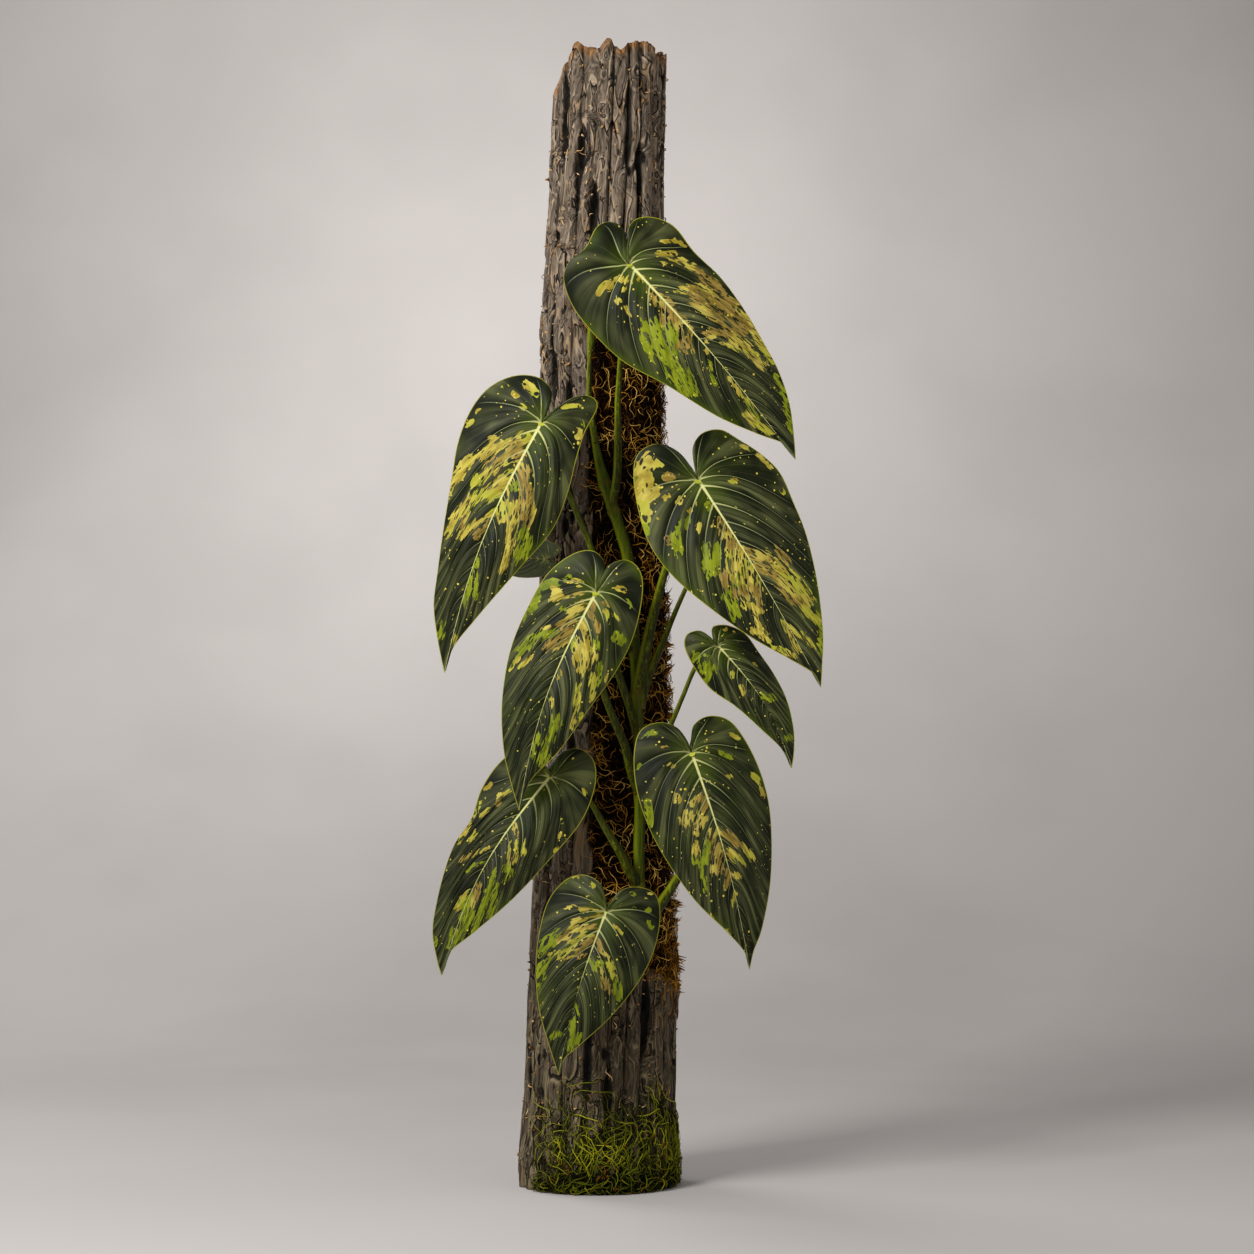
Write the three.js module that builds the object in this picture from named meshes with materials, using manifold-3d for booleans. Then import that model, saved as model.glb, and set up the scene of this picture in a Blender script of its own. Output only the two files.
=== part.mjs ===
// A variegated climbing philodendron on a free-standing bark totem, as separate solids in millimetres.
// +Z is up and -Y faces the viewer. The origin is the centre of the totem's foot, on its flat underside.
import * as THREE from 'three';
import { mergeVertices } from 'three/addons/utils/BufferGeometryUtils.js';
import Module from 'manifold-3d';

const wasm = await Module();
wasm.setup();

// Driving dimensions

const DEGREE = Math.PI / 180;
const FULL_TURN = 2 * Math.PI;

const totem = {
  height: 890,
  // Height and radius of the bark, from the flared foot to the head.
  radii: [[0, 59.5], [25, 60], [65, 57.3], [155, 57], [221, 54.6], [300, 52], [455, 49], [666, 47.3], [767, 43.5],
    [890, 41.6]],
  // Height and sideways place of the centre line.
  centres: [[0, -2.4], [65, -0.7], [155, 2.6], [300, 4], [455, 3.4], [666, 1.8], [767, 4.2], [890, 8.5]],
  ridges: 18,
  fissureDepth: 4.2,
  wander: 2.6 * DEGREE,
  // How far below the height each ridge breaks off, and how far the head falls away on the left.
  broken: [3, 7, 3, 6, 11, 8, 5, 9, 4, 7, 2, 8, 5, 9, 6, 8, 3, 13],
  brokenLeft: 50,
  headHollow: 9,
};

// The strip of bark that is missing, where the coir lies: from ridge to ridge and from height to height.
const channel = { firstRidge: 0, lastRidge: 7, start: -101 * DEGREE, end: 32 * DEGREE,
  footLeft: 190, footRight: 138, head: 705, depth: 9 };

const coir = { gap: 0.6, lip: 1.1, rough: 2.2, strands: 28, strandRadius: 1.3, strandLength: 38, strandRise: 5.5 };

const moss = { start: -140 * DEGREE, end: 128 * DEGREE, height: 40, clear: 1.2, thick: 2.7,
  strands: 22, strandRadius: 1.3, strandLength: 56 };

const stem = { radius: 4.4, node: 0.75, proud: 2.6 };

const stalk = { sides: 6, steps: 11, gap: 0.35 };

const blade = { thickness: 1.25, columns: 14, rows: 3, veins: 7, quilt: 1.7, groove: 2.4, basalShare: 0.42 };

// Seeded numbers and smooth wandering lines

function seeded(seed) {
  let state = seed;
  return () => {
    state = (state * 1664525 + 1013904223) % 4294967296;
    return state / 4294967296;
  };
}

// A line that wanders between -1 and 1 along x, made of three waves.
function wandering(seed) {
  const draw = seeded(seed * 7919 + 13);
  draw();
  const waves = [1, 2.3, 4.7].map((rate, i) => ({ rate, turn: draw() * FULL_TURN, share: 0.55 / (i + 1) }));
  return (x) => waves.reduce((sum, wave) => sum + wave.share * Math.sin(wave.rate * x + wave.turn), 0);
}

const smooth = (x) => THREE.MathUtils.smoothstep(x, 0, 1);
const mix = THREE.MathUtils.lerp;

// Straight stretches between points of the form [at, value].
function along(points, at) {
  const next = points.findIndex(([place]) => place >= at);
  if (next === 0) return points[0][1];
  if (next < 0) return points[points.length - 1][1];
  const [[a, low], [b, high]] = [points[next - 1], points[next]];
  return mix(low, high, (at - a) / (b - a));
}

// Closed surfaces as solids

// Welds corners that meet, drops the triangles that this closes up, and turns the faces outwards.
function solidOf(geometry) {
  geometry.deleteAttribute('normal');
  geometry.deleteAttribute('uv');
  const welded = mergeVertices(geometry, 1e-3);
  const corners = welded.index.array;
  const kept = [];
  for (let i = 0; i < corners.length; i += 3) {
    const [a, b, c] = [corners[i], corners[i + 1], corners[i + 2]];
    if (a !== b && b !== c && c !== a) kept.push(a, b, c);
  }
  const vertProperties = welded.attributes.position.array;
  const made = new wasm.Manifold(new wasm.Mesh({ numProp: 3, vertProperties, triVerts: new Uint32Array(kept) }));
  if (made.volume() > 0) return made;
  const turned = kept.map((corner, i) => kept[i - (i % 3) + (2 - (i % 3))]);
  return new wasm.Manifold(new wasm.Mesh({ numProp: 3, vertProperties, triVerts: new Uint32Array(turned) }));
}

// A lathe blank with the given steps around and along, each of its corners moved to place(around, along).
function moulded(stepsAround, stepsAlong, place) {
  const profile = Array.from({ length: stepsAlong + 1 }, (_, i) => new THREE.Vector2(1, i));
  const geometry = new THREE.LatheGeometry(profile, stepsAround);
  const { position, uv } = geometry.attributes;
  for (let i = 0; i < position.count; i++) {
    const around = Math.round(uv.getX(i) * stepsAround) % stepsAround;
    const spot = place(around, Math.round(uv.getY(i) * stepsAlong));
    position.setXYZ(i, spot.x, spot.y, spot.z);
  }
  return solidOf(geometry);
}

// A solid between two sheets of corners, sheet[column][row], with both sheets split into triangles alike.
// The last row is always walled; the first row and the two end columns only where they are open edges.
function betweenSheets(outer, inner, wallAllRound) {
  const [columns, rows] = [outer.length, outer[0].length];
  const corners = [...outer.flat(), ...inner.flat()];
  const at = (column, row) => column * rows + row;
  const behind = columns * rows;
  const faces = [];
  const quad = (a, b, c, d) => faces.push(a, b, c, a, c, d);
  for (let i = 0; i + 1 < columns; i++) {
    for (let j = 0; j + 1 < rows; j++) {
      const [a, b, c, d] = [at(i, j), at(i + 1, j), at(i + 1, j + 1), at(i, j + 1)];
      if (i < columns / 2) {
        faces.push(a, b, c, a, c, d, behind + a, behind + c, behind + b, behind + a, behind + d, behind + c);
      } else {
        faces.push(a, b, d, b, c, d, behind + a, behind + d, behind + b, behind + b, behind + d, behind + c);
      }
    }
    quad(at(i + 1, rows - 1), behind + at(i + 1, rows - 1), behind + at(i, rows - 1), at(i, rows - 1));
    if (wallAllRound) quad(at(i, 0), behind + at(i, 0), behind + at(i + 1, 0), at(i + 1, 0));
  }
  if (wallAllRound) {
    for (let j = 0; j + 1 < rows; j++) {
      quad(at(0, j + 1), behind + at(0, j + 1), behind + at(0, j), at(0, j));
      quad(at(columns - 1, j), behind + at(columns - 1, j), behind + at(columns - 1, j + 1), at(columns - 1, j + 1));
    }
  }
  const geometry = new THREE.BufferGeometry().setFromPoints(corners);
  geometry.setIndex(faces);
  return solidOf(geometry);
}

// A round rod along a curve, whose radius follows radiusAt(share of the length).
function rod(curve, radiusAt, sides, steps) {
  const frames = curve.computeFrenetFrames(steps);
  return moulded(sides, steps + 2, (around, row) => {
    const step = THREE.MathUtils.clamp(row - 1, 0, steps);
    const spot = curve.getPointAt(step / steps);
    if (row === 0 || row === steps + 2) return spot;
    const turn = (around / sides) * FULL_TURN;
    const radius = radiusAt(step / steps);
    return spot
      .addScaledVector(frames.normals[step], radius * Math.cos(turn))
      .addScaledVector(frames.binormals[step], radius * Math.sin(turn));
  });
}

const curveThrough = (points) => new THREE.CatmullRomCurve3(points.map((p) => new THREE.Vector3(...p)), false, 'centripetal');

// Keeps the largest body of a solid and drops the scraps that a cut leaves.
function largest(solid) {
  return solid.decompose().reduce((best, body) => (body.volume() > best.volume() ? body : best));
}

const part = new THREE.Group();

function addPiece(name, solid, material) {
  const made = solid.getMesh();
  const geometry = new THREE.BufferGeometry();
  geometry.setAttribute('position', new THREE.BufferAttribute(new Float32Array(made.vertProperties), 3));
  geometry.setIndex(Array.from(made.triVerts));
  geometry.computeVertexNormals();
  const mesh = new THREE.Mesh(geometry, material);
  mesh.name = name;
  part.add(mesh);
}

const plain = (color, roughness) => new THREE.MeshStandardMaterial({ color, roughness, metalness: 0 });
const finishes = {
  bark: plain(0x6d6055, 0.9),
  coir: plain(0x5a3a18, 0.95),
  moss: plain(0x6f7a1e, 0.95),
  stem: plain(0x55661a, 0.55),
  petiole: plain(0x66781f, 0.55),
  blade: plain(0x3c4428, 0.6),
};

// Totem: four columns of corners to a ridge, at the fissure, its two shoulders and the crown

const RIDGE_SHAPE = [
  { share: 0, depth: 1 },
  { share: 0.22, depth: 0.22 },
  { share: 0.52, depth: -0.12 },
  { share: 0.8, depth: 0.16 },
];

const totemRings = {
  // Heights of the rings, as shares of the stretch below, beside and above the channel.
  below: [0, 0.12, 0.3, 0.55, 0.8, 1],
  beside: [0.012, 0.08, 0.16, 0.24, 0.32, 0.4, 0.48, 0.56, 0.64, 0.72, 0.8, 0.88, 0.94, 0.988],
  above: [0, 0.2, 0.42, 0.64, 0.84, 1],
  head: [0.86, 0.55, 0.22],
};

const ridgeDraw = seeded(41);
const barkRidges = Array.from({ length: totem.ridges }, (_, i) => ({
  width: 0.7 + 0.6 * ridgeDraw(),
  depth: 0.65 + 0.6 * ridgeDraw(),
  lift: ridgeDraw() - 0.5,
  opening: wandering(100 + i),
  sway: wandering(200 + i),
}));

// Angles of the fissures: the channel's ridges share its width, and the rest share what is left.
function fissureAngles() {
  const inChannel = barkRidges.slice(channel.firstRidge, channel.lastRidge);
  const outside = barkRidges.slice(channel.lastRidge);
  const total = (list) => list.reduce((sum, ridge) => sum + ridge.width, 0);
  const angles = [channel.start];
  for (const [list, width] of [[inChannel, channel.end - channel.start],
    [outside, FULL_TURN - (channel.end - channel.start)]]) {
    for (const ridge of list) angles.push(angles[angles.length - 1] + (ridge.width / total(list)) * width);
  }
  return angles;
}
const fissures = fissureAngles();
const totemColumns = totem.ridges * RIDGE_SHAPE.length;

function ridgeOf(column) {
  const ridge = Math.floor(column / RIDGE_SHAPE.length) % totem.ridges;
  return { ridge, spot: RIDGE_SHAPE[column % RIDGE_SHAPE.length] };
}

const isChannelEdge = (ridge) => ridge === channel.firstRidge || ridge === channel.lastRidge;

function angleOf(column, height) {
  const { ridge, spot } = ridgeOf(column);
  const sway = (i) => {
    const still = isChannelEdge(i) ? 0.5 : 1;
    return totem.wander * still * barkRidges[i].sway(height / 95);
  };
  const start = fissures[ridge] + sway(ridge);
  const end = fissures[ridge + 1] + sway((ridge + 1) % totem.ridges);
  return mix(start, end, spot.share);
}

function headHeight(angle, ridge, spot) {
  const left = smooth((-Math.cos(angle) - 0.6) / 0.42);
  const notch = spot.share === 0 ? 5 : 0;
  return totem.height - totem.broken[ridge] - notch - totem.brokenLeft * left;
}

// How far round a column lies in the channel, from 0 at its left edge to 1 at its right edge, and outside it below 0 or over 1.
const channelShare = (column) => column / ((channel.lastRidge - channel.firstRidge) * RIDGE_SHAPE.length);

function channelFoot(column) {
  const share = channelShare(column);
  const back = (share - 1) / (totemColumns / (channel.lastRidge * RIDGE_SHAPE.length) - 1);
  return share <= 1 ? mix(channel.footLeft, channel.footRight, share) : mix(channel.footRight, channel.footLeft, back);
}

// A point of the bark's surface on one column, pushed out from it by lift.
function barkPoint(column, height, lift = 0, recessed = 0) {
  const { ridge, spot } = ridgeOf(column);
  const angle = angleOf(column, height);
  const { depth, opening, lift: crown } = barkRidges[ridge];
  const fissure = spot.share === 0 && isChannelEdge(ridge) ? 0 : spot.depth * depth * (0.75 + 0.45 * opening(height / 60));
  const knobs = 0.9 * Math.sin(height / 17 + column * 2.1) * (spot.share === 0.52 ? 1 : 0.35);
  const bark = along(totem.radii, height) + crown + knobs - totem.fissureDepth * fissure;
  const radius = recessed ? along(totem.radii, height) - channel.depth : bark;
  return new THREE.Vector3(
    along(totem.centres, height) + (radius + lift) * Math.cos(angle),
    (radius + lift) * Math.sin(angle),
    height,
  );
}

const { below, beside, above, head } = totemRings;
const ringsUpTheSide = [
  ...below.map((share) => ({ zone: 'below', share })),
  ...beside.map((share) => ({ zone: 'beside', share })),
  ...above.map((share) => ({ zone: 'above', share })),
];

function ringHeight(ring, column) {
  const foot = channelFoot(column);
  if (ring.zone === 'below') return ring.share * foot;
  if (ring.zone === 'beside') return mix(foot, channel.head, ring.share);
  const { ridge, spot } = ridgeOf(column);
  return mix(channel.head, headHeight(angleOf(column, totem.height), ridge, spot), ring.share);
}

const inChannel = (column) => channelShare(column) > 0 && channelShare(column) < 1;

function totemSolid() {
  const lastSide = ringsUpTheSide.length;
  const lastRow = lastSide + head.length + 1;
  const core = totem.height - totem.headHollow;
  return moulded(totemColumns, lastRow, (column, row) => {
    if (row === 0) return new THREE.Vector3(0, 0, 0);
    if (row === lastRow) return new THREE.Vector3(along(totem.centres, totem.height), 0, core - 2);
    const ring = ringsUpTheSide[Math.min(row, lastSide) - 1];
    const height = ringHeight(ring, column);
    const edge = barkPoint(column, height, 0, ring.zone === 'beside' && inChannel(column));
    if (row <= lastSide) return edge;
    // The broken wood inside the head.
    const share = head[row - lastSide - 1];
    const centre = along(totem.centres, totem.height);
    const ragged = 3.5 * Math.sin(column * 2.4 + row * 1.7) * share;
    return new THREE.Vector3(mix(centre, edge.x, share), edge.y * share, mix(core, edge.z - 3, share ** 3) + ragged);
  });
}

// Coir: a rough pad in the channel, with curled strands sunk into it

const coirRough = Array.from({ length: 4 }, (_, i) => wandering(300 + i));

function coirLift(column, height) {
  const lumps = coirRough[0](height / 9 + column) + coirRough[1](height / 21 - column * 1.7);
  const ragged = 1.6 * smooth((height - 250) / 60) * smooth((560 - height) / 60);
  return coir.rough * 0.5 * lumps + ragged * Math.max(0, coirRough[2](column * 1.3 + height / 15));
}

const coirRadius = (height) => along(totem.radii, height) - 1.2;

function coirPad() {
  const columns = Array.from({ length: channel.lastRidge * 2 + 1 }, (_, i) => (i * RIDGE_SHAPE.length) / 2);
  const rings = [{ zone: 'beside', share: 0 }, ...ringsUpTheSide.filter(({ zone }) => zone === 'beside'),
    { zone: 'beside', share: 1 }];
  const sheet = (place) => columns.map((column) => rings.map((ring) => place(column, ring)));
  const isRim = (column, ring) => !inChannel(column) || ring.share === 0 || ring.share === 1;
  const inner = sheet((column, ring) => barkPoint(column, ringHeight(ring, column), coir.gap, !isRim(column, ring)));
  const outer = sheet((column, ring) => {
    const height = ringHeight(ring, column);
    if (isRim(column, ring)) return barkPoint(column, height, coir.gap + coir.lip);
    const rise = coirRadius(height) + coirLift(column, height) - (along(totem.radii, height) - channel.depth);
    return barkPoint(column, height, Math.max(rise, coir.gap + coir.lip), true);
  });
  return betweenSheets(outer, inner, true);
}

// A point over the coir's or the moss's ground, by angle, height and distance out from the centre line.
const roundTheTotem = (angle, height, radius) =>
  [along(totem.centres, height) + radius * Math.cos(angle), radius * Math.sin(angle), height];

// A curled strand that leaves the ground, arches over it and goes back in.
function strand({ angle, height, radius, turn, length, rise, curl, thickness }) {
  const points = [];
  const steps = 3;
  for (let i = 0; i <= steps; i++) {
    const share = i / steps;
    const heading = turn + curl * (share - 0.5);
    const run = length * (share - 0.5);
    const arch = rise * Math.sin(Math.PI * share) - thickness * 1.6;
    const up = Math.max(moss.clear + thickness, height + run * Math.sin(heading));
    points.push(roundTheTotem(angle + (run * Math.cos(heading)) / radius, up, radius + arch));
  }
  return rod(curveThrough(points), (share) => thickness * (1 - 0.25 * share), 3, steps);
}

function coirStrands() {
  const draw = seeded(57);
  const made = [];
  for (let i = 0; i < coir.strands; i++) {
    // Every other strand stands out at the right edge, where the pad shows against the light.
    const atEdge = i % 2 === 0;
    const share = atEdge ? 0.64 + 0.14 * draw() : 0.06 + 0.88 * draw();
    const angle = mix(channel.start, channel.end, share);
    const foot = mix(channel.footLeft, channel.footRight, share) + 14;
    const height = mix(foot, channel.head - 16, draw());
    const rise = coir.strandRise * (atEdge ? 1.1 + 0.5 * draw() : 0.5 + draw());
    made.push(strand({
      angle, height, rise,
      radius: coirRadius(height),
      turn: draw() * Math.PI,
      length: coir.strandLength * (0.45 + 0.55 * draw()),
      curl: 3.2 * (draw() - 0.5),
      thickness: coir.strandRadius,
    }));
  }
  return made;
}

// Moss: a low skirt round the foot, with strands that climb from it

const mossTop = wandering(401);
const mossLumps = wandering(402);

function mossPad() {
  const inMoss = [];
  for (let column = 0; column < totemColumns; column++) {
    const angle = angleOf(column, 0);
    const turned = angle > Math.PI ? angle - FULL_TURN : angle;
    if (turned > moss.start && turned < moss.end) inMoss.push({ column, turned });
  }
  inMoss.sort((a, b) => a.turned - b.turned);
  const rows = [0, 0.3, 0.66, 1];
  const top = (turned) => {
    const ends = smooth((turned - moss.start) / 0.5) * smooth((moss.end - turned) / 0.5);
    return (moss.height + 14 * mossTop(turned * 3)) * (0.35 + 0.65 * ends);
  };
  const sheet = (lift) => inMoss.map(({ column, turned }) => rows.map((share) => {
    const height = mix(moss.clear, top(turned), share);
    return barkPoint(column, height, lift(turned, height, share));
  }));
  const inner = sheet(() => coir.gap);
  const outer = sheet((turned, height, share) =>
    coir.gap + 1 + moss.thick * (1 - share ** 2) * (0.8 + 0.5 * mossLumps(turned * 9 + height / 7)));
  return betweenSheets(outer, inner, true);
}

function mossStrands() {
  const draw = seeded(83);
  const made = [];
  for (let i = 0; i < moss.strands; i++) {
    const angle = mix(moss.start + 0.2, moss.end - 0.2, draw());
    const height = 13 + 24 * draw() ** 1.5;
    const tall = i % 3 === 0;
    made.push(strand({
      angle, height,
      radius: along(totem.radii, height) + 1.4,
      turn: tall ? Math.PI * (0.35 + 0.3 * draw()) : Math.PI * (0.1 + 0.8 * draw()),
      length: moss.strandLength * (tall ? 0.5 + 0.3 * draw() : 0.35 + 0.15 * draw()),
      rise: 3.6 + 1.6 * draw(),
      curl: 2.4 * (draw() - 0.5),
      thickness: moss.strandRadius,
    }));
  }
  return made;
}

// Stem: one stout rod up the coir, swollen at its nodes

// Sideways and up; its depth is where the coir carries it.
const stemPath = [[32, 176], [31, 215], [30, 260], [31, 300], [31, 335], [29, 372], [28, 400], [26, 430], [25, 463],
  [21, 490], [14, 514], [6, 538], [0, 560], [-4, 580]];
const stemNodes = [200, 234, 305, 350, 383, 415, 462, 524, 545];

const onCoir = ([x, z]) => [x, -Math.sqrt((coirRadius(z) + stem.proud) ** 2 - (x - along(totem.centres, z)) ** 2), z];
const stemLine = curveThrough(stemPath.map(onCoir));

function stemSolid(spare = 0) {
  const swelling = (height) => stemNodes.reduce((sum, node) => sum + Math.exp(-(((height - node) / 4.5) ** 2)), 0);
  const radiusAt = (share) => {
    const height = stemLine.getPointAt(share).z;
    const taper = 1 - 0.38 * smooth((height - 545) / 34);
    return (stem.radius + stem.node * swelling(height)) * taper + spare;
  };
  return rod(stemLine, radiusAt, 8, 31);
}

// Leaf blades: each half is outlined from the notch over its lobe to the tip, and its veins run out to that outline

// attach is where the petiole meets the blade; the tip and the outlines are given sideways and up.
// bow is how far the midrib swings to the right of a straight line; the rest is depth: how far the tip and
// the middle stand out, how far the margins fall back, and how much the blade rolls to one side.
const leaves = {
  bottom: {
    attach: [5.3, -98, 220], notch: [6, 223.5], tip: [-30.6, 97.2], bow: -3.6,
    tipOut: 8, arch: 6, margin: 9, roll: 0.1, seed: 1,
    left: [[4.2, 231], [0, 241.5], [-12, 247], [-26, 242.2], [-39, 225.5], [-46, 199], [-47.6, 173], [-45.2, 147],
      [-38.4, 122]],
    right: [[9.5, 227.5], [17, 236], [30, 238], [43, 231.5], [45.8, 213], [40, 187], [27.5, 164], [8, 140.5],
      [-14, 120.7], [-26.5, 109]],
  },
  lower_left: {
    attach: [-37.4, -87, 320.8], notch: [-38.4, 324.5], tip: [-119.7, 170.1], bow: -11,
    tipOut: -6, arch: 8, margin: 8, roll: 0.28, seed: 2,
    left: [[-42, 332], [-52, 341], [-64, 340.6], [-78.6, 328], [-90, 310], [-97, 289], [-110, 269], [-118, 247],
      [-124, 222], [-126.5, 202], [-123, 181]],
    right: [[-35.5, 331], [-26.7, 340.3], [-13, 341.3], [-3.5, 331], [-4, 311], [-14.4, 286.4], [-36, 260.5],
      [-65, 229.5], [-93.8, 204.2], [-114, 187]],
  },
  lower_right: {
    attach: [69.5, -97, 339.8], notch: [68.2, 343.3], tip: [113.7, 175.5], bow: 4.4,
    tipOut: -5, arch: 9, margin: 9, roll: -0.24, seed: 3,
    left: [[65.5, 349.5], [58, 358.5], [45, 362.2], [31.5, 356.5], [26.5, 341], [27.2, 318], [34, 292.5],
      [48, 263.5], [72, 229], [95, 206], [110, 188.7]],
    right: [[70, 351], [72, 360.5], [82, 366.8], [96, 364.8], [107, 354], [119, 332], [127.5, 305], [130.2, 276],
      [129, 240], [123, 207], [116.5, 189]],
  },
  middle: {
    attach: [-2.1, -107, 460.8], notch: [-0.8, 464.5], tip: [-60.1, 296.5], bow: -9,
    tipOut: 5, arch: 7, margin: 8, roll: 0.14, seed: 4,
    left: [[1.2, 473], [3.6, 483], [-5, 491.8], [-20, 489.3], [-39, 474.5], [-53, 450.5], [-64.5, 424],
      [-70.5, 398.5], [-73.2, 370], [-71.3, 340], [-65.4, 315]],
    right: [[2.5, 473], [9, 481.5], [21.5, 484.6], [31, 476], [32.5, 458], [26, 428.5], [13, 402], [-8.7, 371.5],
      [-30, 341.5], [-52, 318.6]],
  },
  small_right: {
    attach: [89.9, -71, 420.3], notch: [87.9, 422.6], tip: [146.3, 327.1], bow: 7.5,
    tipOut: 4, arch: 4, margin: 5, roll: -0.3, seed: 5,
    left: [[83.1, 427.4], [75.5, 431.4], [66.4, 428.4], [65, 418.9], [72.4, 403.7], [85.3, 387], [103.8, 373.9],
      [124, 355.9], [138.8, 342]],
    right: [[86.4, 428.2], [87.1, 434.8], [97.8, 435.6], [111.3, 428.9], [121.3, 415.2], [132.7, 398.5],
      [142.7, 378.6], [147.6, 357.3], [147.9, 339.6]],
  },
  small_left: {
    attach: [-39.4, -71, 486], notch: [-37.8, 486], tip: [-96, 489], bow: 0,
    tipOut: -5, arch: 2, margin: 4, roll: 0.15, seed: 6,
    left: [[-33, 489], [-30, 494.5], [-36, 499], [-50, 500], [-68, 497.5], [-85, 492.5]],
    right: [[-33, 482.5], [-30.5, 478], [-38, 474.5], [-52, 472.5], [-66, 473.5], [-84, 481]],
  },
  right: {
    attach: [74.4, -97, 545.7], notch: [72.6, 550], tip: [167, 389.1], bow: 2.5,
    tipOut: 7, arch: 9, margin: 10, roll: -0.26, seed: 7,
    left: [[67, 557.5], [56, 568.5], [42, 572.4], [29, 564.5], [26, 548], [30, 521], [39, 495], [56, 472],
      [83, 449], [114.5, 426.6], [143, 410.5], [162, 399]],
    right: [[72.7, 558], [71, 571], [78, 581.3], [92, 584], [106, 576.5], [122, 566.4], [137, 551.5], [147, 529],
      [157, 503], [164.5, 469], [168.5, 431], [168, 405]],
  },
  small_back: {
    attach: [86, -73, 508], notch: [84.8, 509.6], tip: [140, 434], bow: 0,
    tipOut: -10, arch: 2, margin: 4, roll: -0.15, seed: 8,
    left: [[80.1, 512.7], [70.8, 515.2], [66.7, 508.8], [72.5, 492.5], [86, 473.9], [108, 455.7], [128.8, 442.4]],
    right: [[83.3, 515.1], [83.8, 524.6], [91.1, 526.6], [104.9, 516.1], [118.4, 497.5], [129, 471.1],
      [135.2, 447.2]],
  },
  left: {
    attach: [-43.3, -100, 588.7], notch: [-41.4, 591], tip: [-116.8, 400], bow: -9,
    tipOut: -4, arch: 9, margin: 9, roll: 0.26, seed: 9,
    left: [[-38.5, 600], [-36.5, 613], [-46, 623], [-64, 624.7], [-83, 616.5], [-97, 600], [-107, 574.5],
      [-111.8, 545], [-117, 512], [-122, 475], [-124.8, 450], [-121.5, 423]],
    right: [[-35, 596.5], [-22, 606], [-8, 608.7], [-1.3, 601], [-11, 581], [-17.5, 560], [-24, 535], [-36, 507],
      [-62, 476.5], [-92, 441.5], [-110, 419]],
  },
  top: {
    attach: [22.7, -97, 708.3], notch: [22.1, 712.3], tip: [148.6, 561.4], bow: 3,
    tipOut: -9, arch: 10, margin: 10, roll: -0.18, seed: 10,
    left: [[20.2, 722], [13, 739], [-1, 737.5], [-10.5, 720], [-23, 709], [-26.5, 694], [-15, 669], [16, 636.5],
      [50, 617], [87.5, 594], [118, 581], [142, 572]],
    right: [[20.9, 729], [26, 742], [40, 745.2], [57, 738], [72, 718.5], [92, 699], [109, 675.5], [123.5, 650.5],
      [136, 627], [144, 602.5], [147.5, 576]],
  },
};

// One half of a blade (side is -1 on the viewer's left of the midrib, 1 on its right).
// Places on it are measured along the straight line from attach to tip (run) and out from that line (out).
function halfLeaf(leaf, side) {
  const base = new THREE.Vector2(leaf.attach[0], leaf.attach[2]);
  const tip = new THREE.Vector2(...leaf.tip).sub(base);
  const length = tip.length();
  const down = tip.divideScalar(length);
  const across = new THREE.Vector2(-down.y, down.x).multiplyScalar(side);
  const measure = (point) => {
    const from = new THREE.Vector2(...point).sub(base);
    return new THREE.Vector2(from.dot(down), from.dot(across));
  };
  const drawn = [leaf.notch, ...(side < 0 ? leaf.left : leaf.right), leaf.tip].map(measure);
  const outline = new THREE.SplineCurve(drawn);
  const width = Math.max(...drawn.map((point) => point.y));
  const bow = (run) => leaf.bow * side * Math.sin(Math.PI * THREE.MathUtils.clamp(run / length, 0, 1));
  return { side, length, width, down, across, outline, bow };
}

// How far a point of the blade stands towards the viewer from where the petiole meets it. rise goes from 0 on
// the midrib to 1 on the margin, and round from 0 at the notch to 1 at the tip.
function forward(leaf, half, { run, out, rise, round }) {
  const s = run / half.length;
  const t = (out - half.bow(run)) / half.width;
  const middle = leaf.tipOut * Math.max(0, s) ** 1.5 + leaf.arch * Math.sin(Math.PI * THREE.MathUtils.clamp(s, 0, 1));
  const lobe = s < 0 ? -0.26 * s * s * half.length : 0;
  const vein = round * blade.veins;
  const gutter = blade.groove * Math.sin(Math.PI * rise ** 0.7);
  const quilt = blade.quilt * Math.abs(Math.sin(Math.PI * vein)) ** 0.8 * Math.sin(Math.PI * rise ** 0.8);
  const wave = 1.6 * Math.sin(vein * 2.1 + leaf.seed) * rise ** 3;
  const relief = (gutter + quilt + wave) * smooth((1 - round) * 6);
  return middle + lobe + relief - leaf.margin * Math.abs(t) ** 1.8 + leaf.roll * out * half.side;
}

// The bend of one vein between its start on the midrib and its end on the margin.
function alongVein(start, end, sag, rise) {
  const curve = new THREE.QuadraticBezierCurve(start, start.clone().lerp(end, 0.5).setX((start.x + end.x) / 2 - sag), end);
  return curve.getPoint(rise);
}

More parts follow.
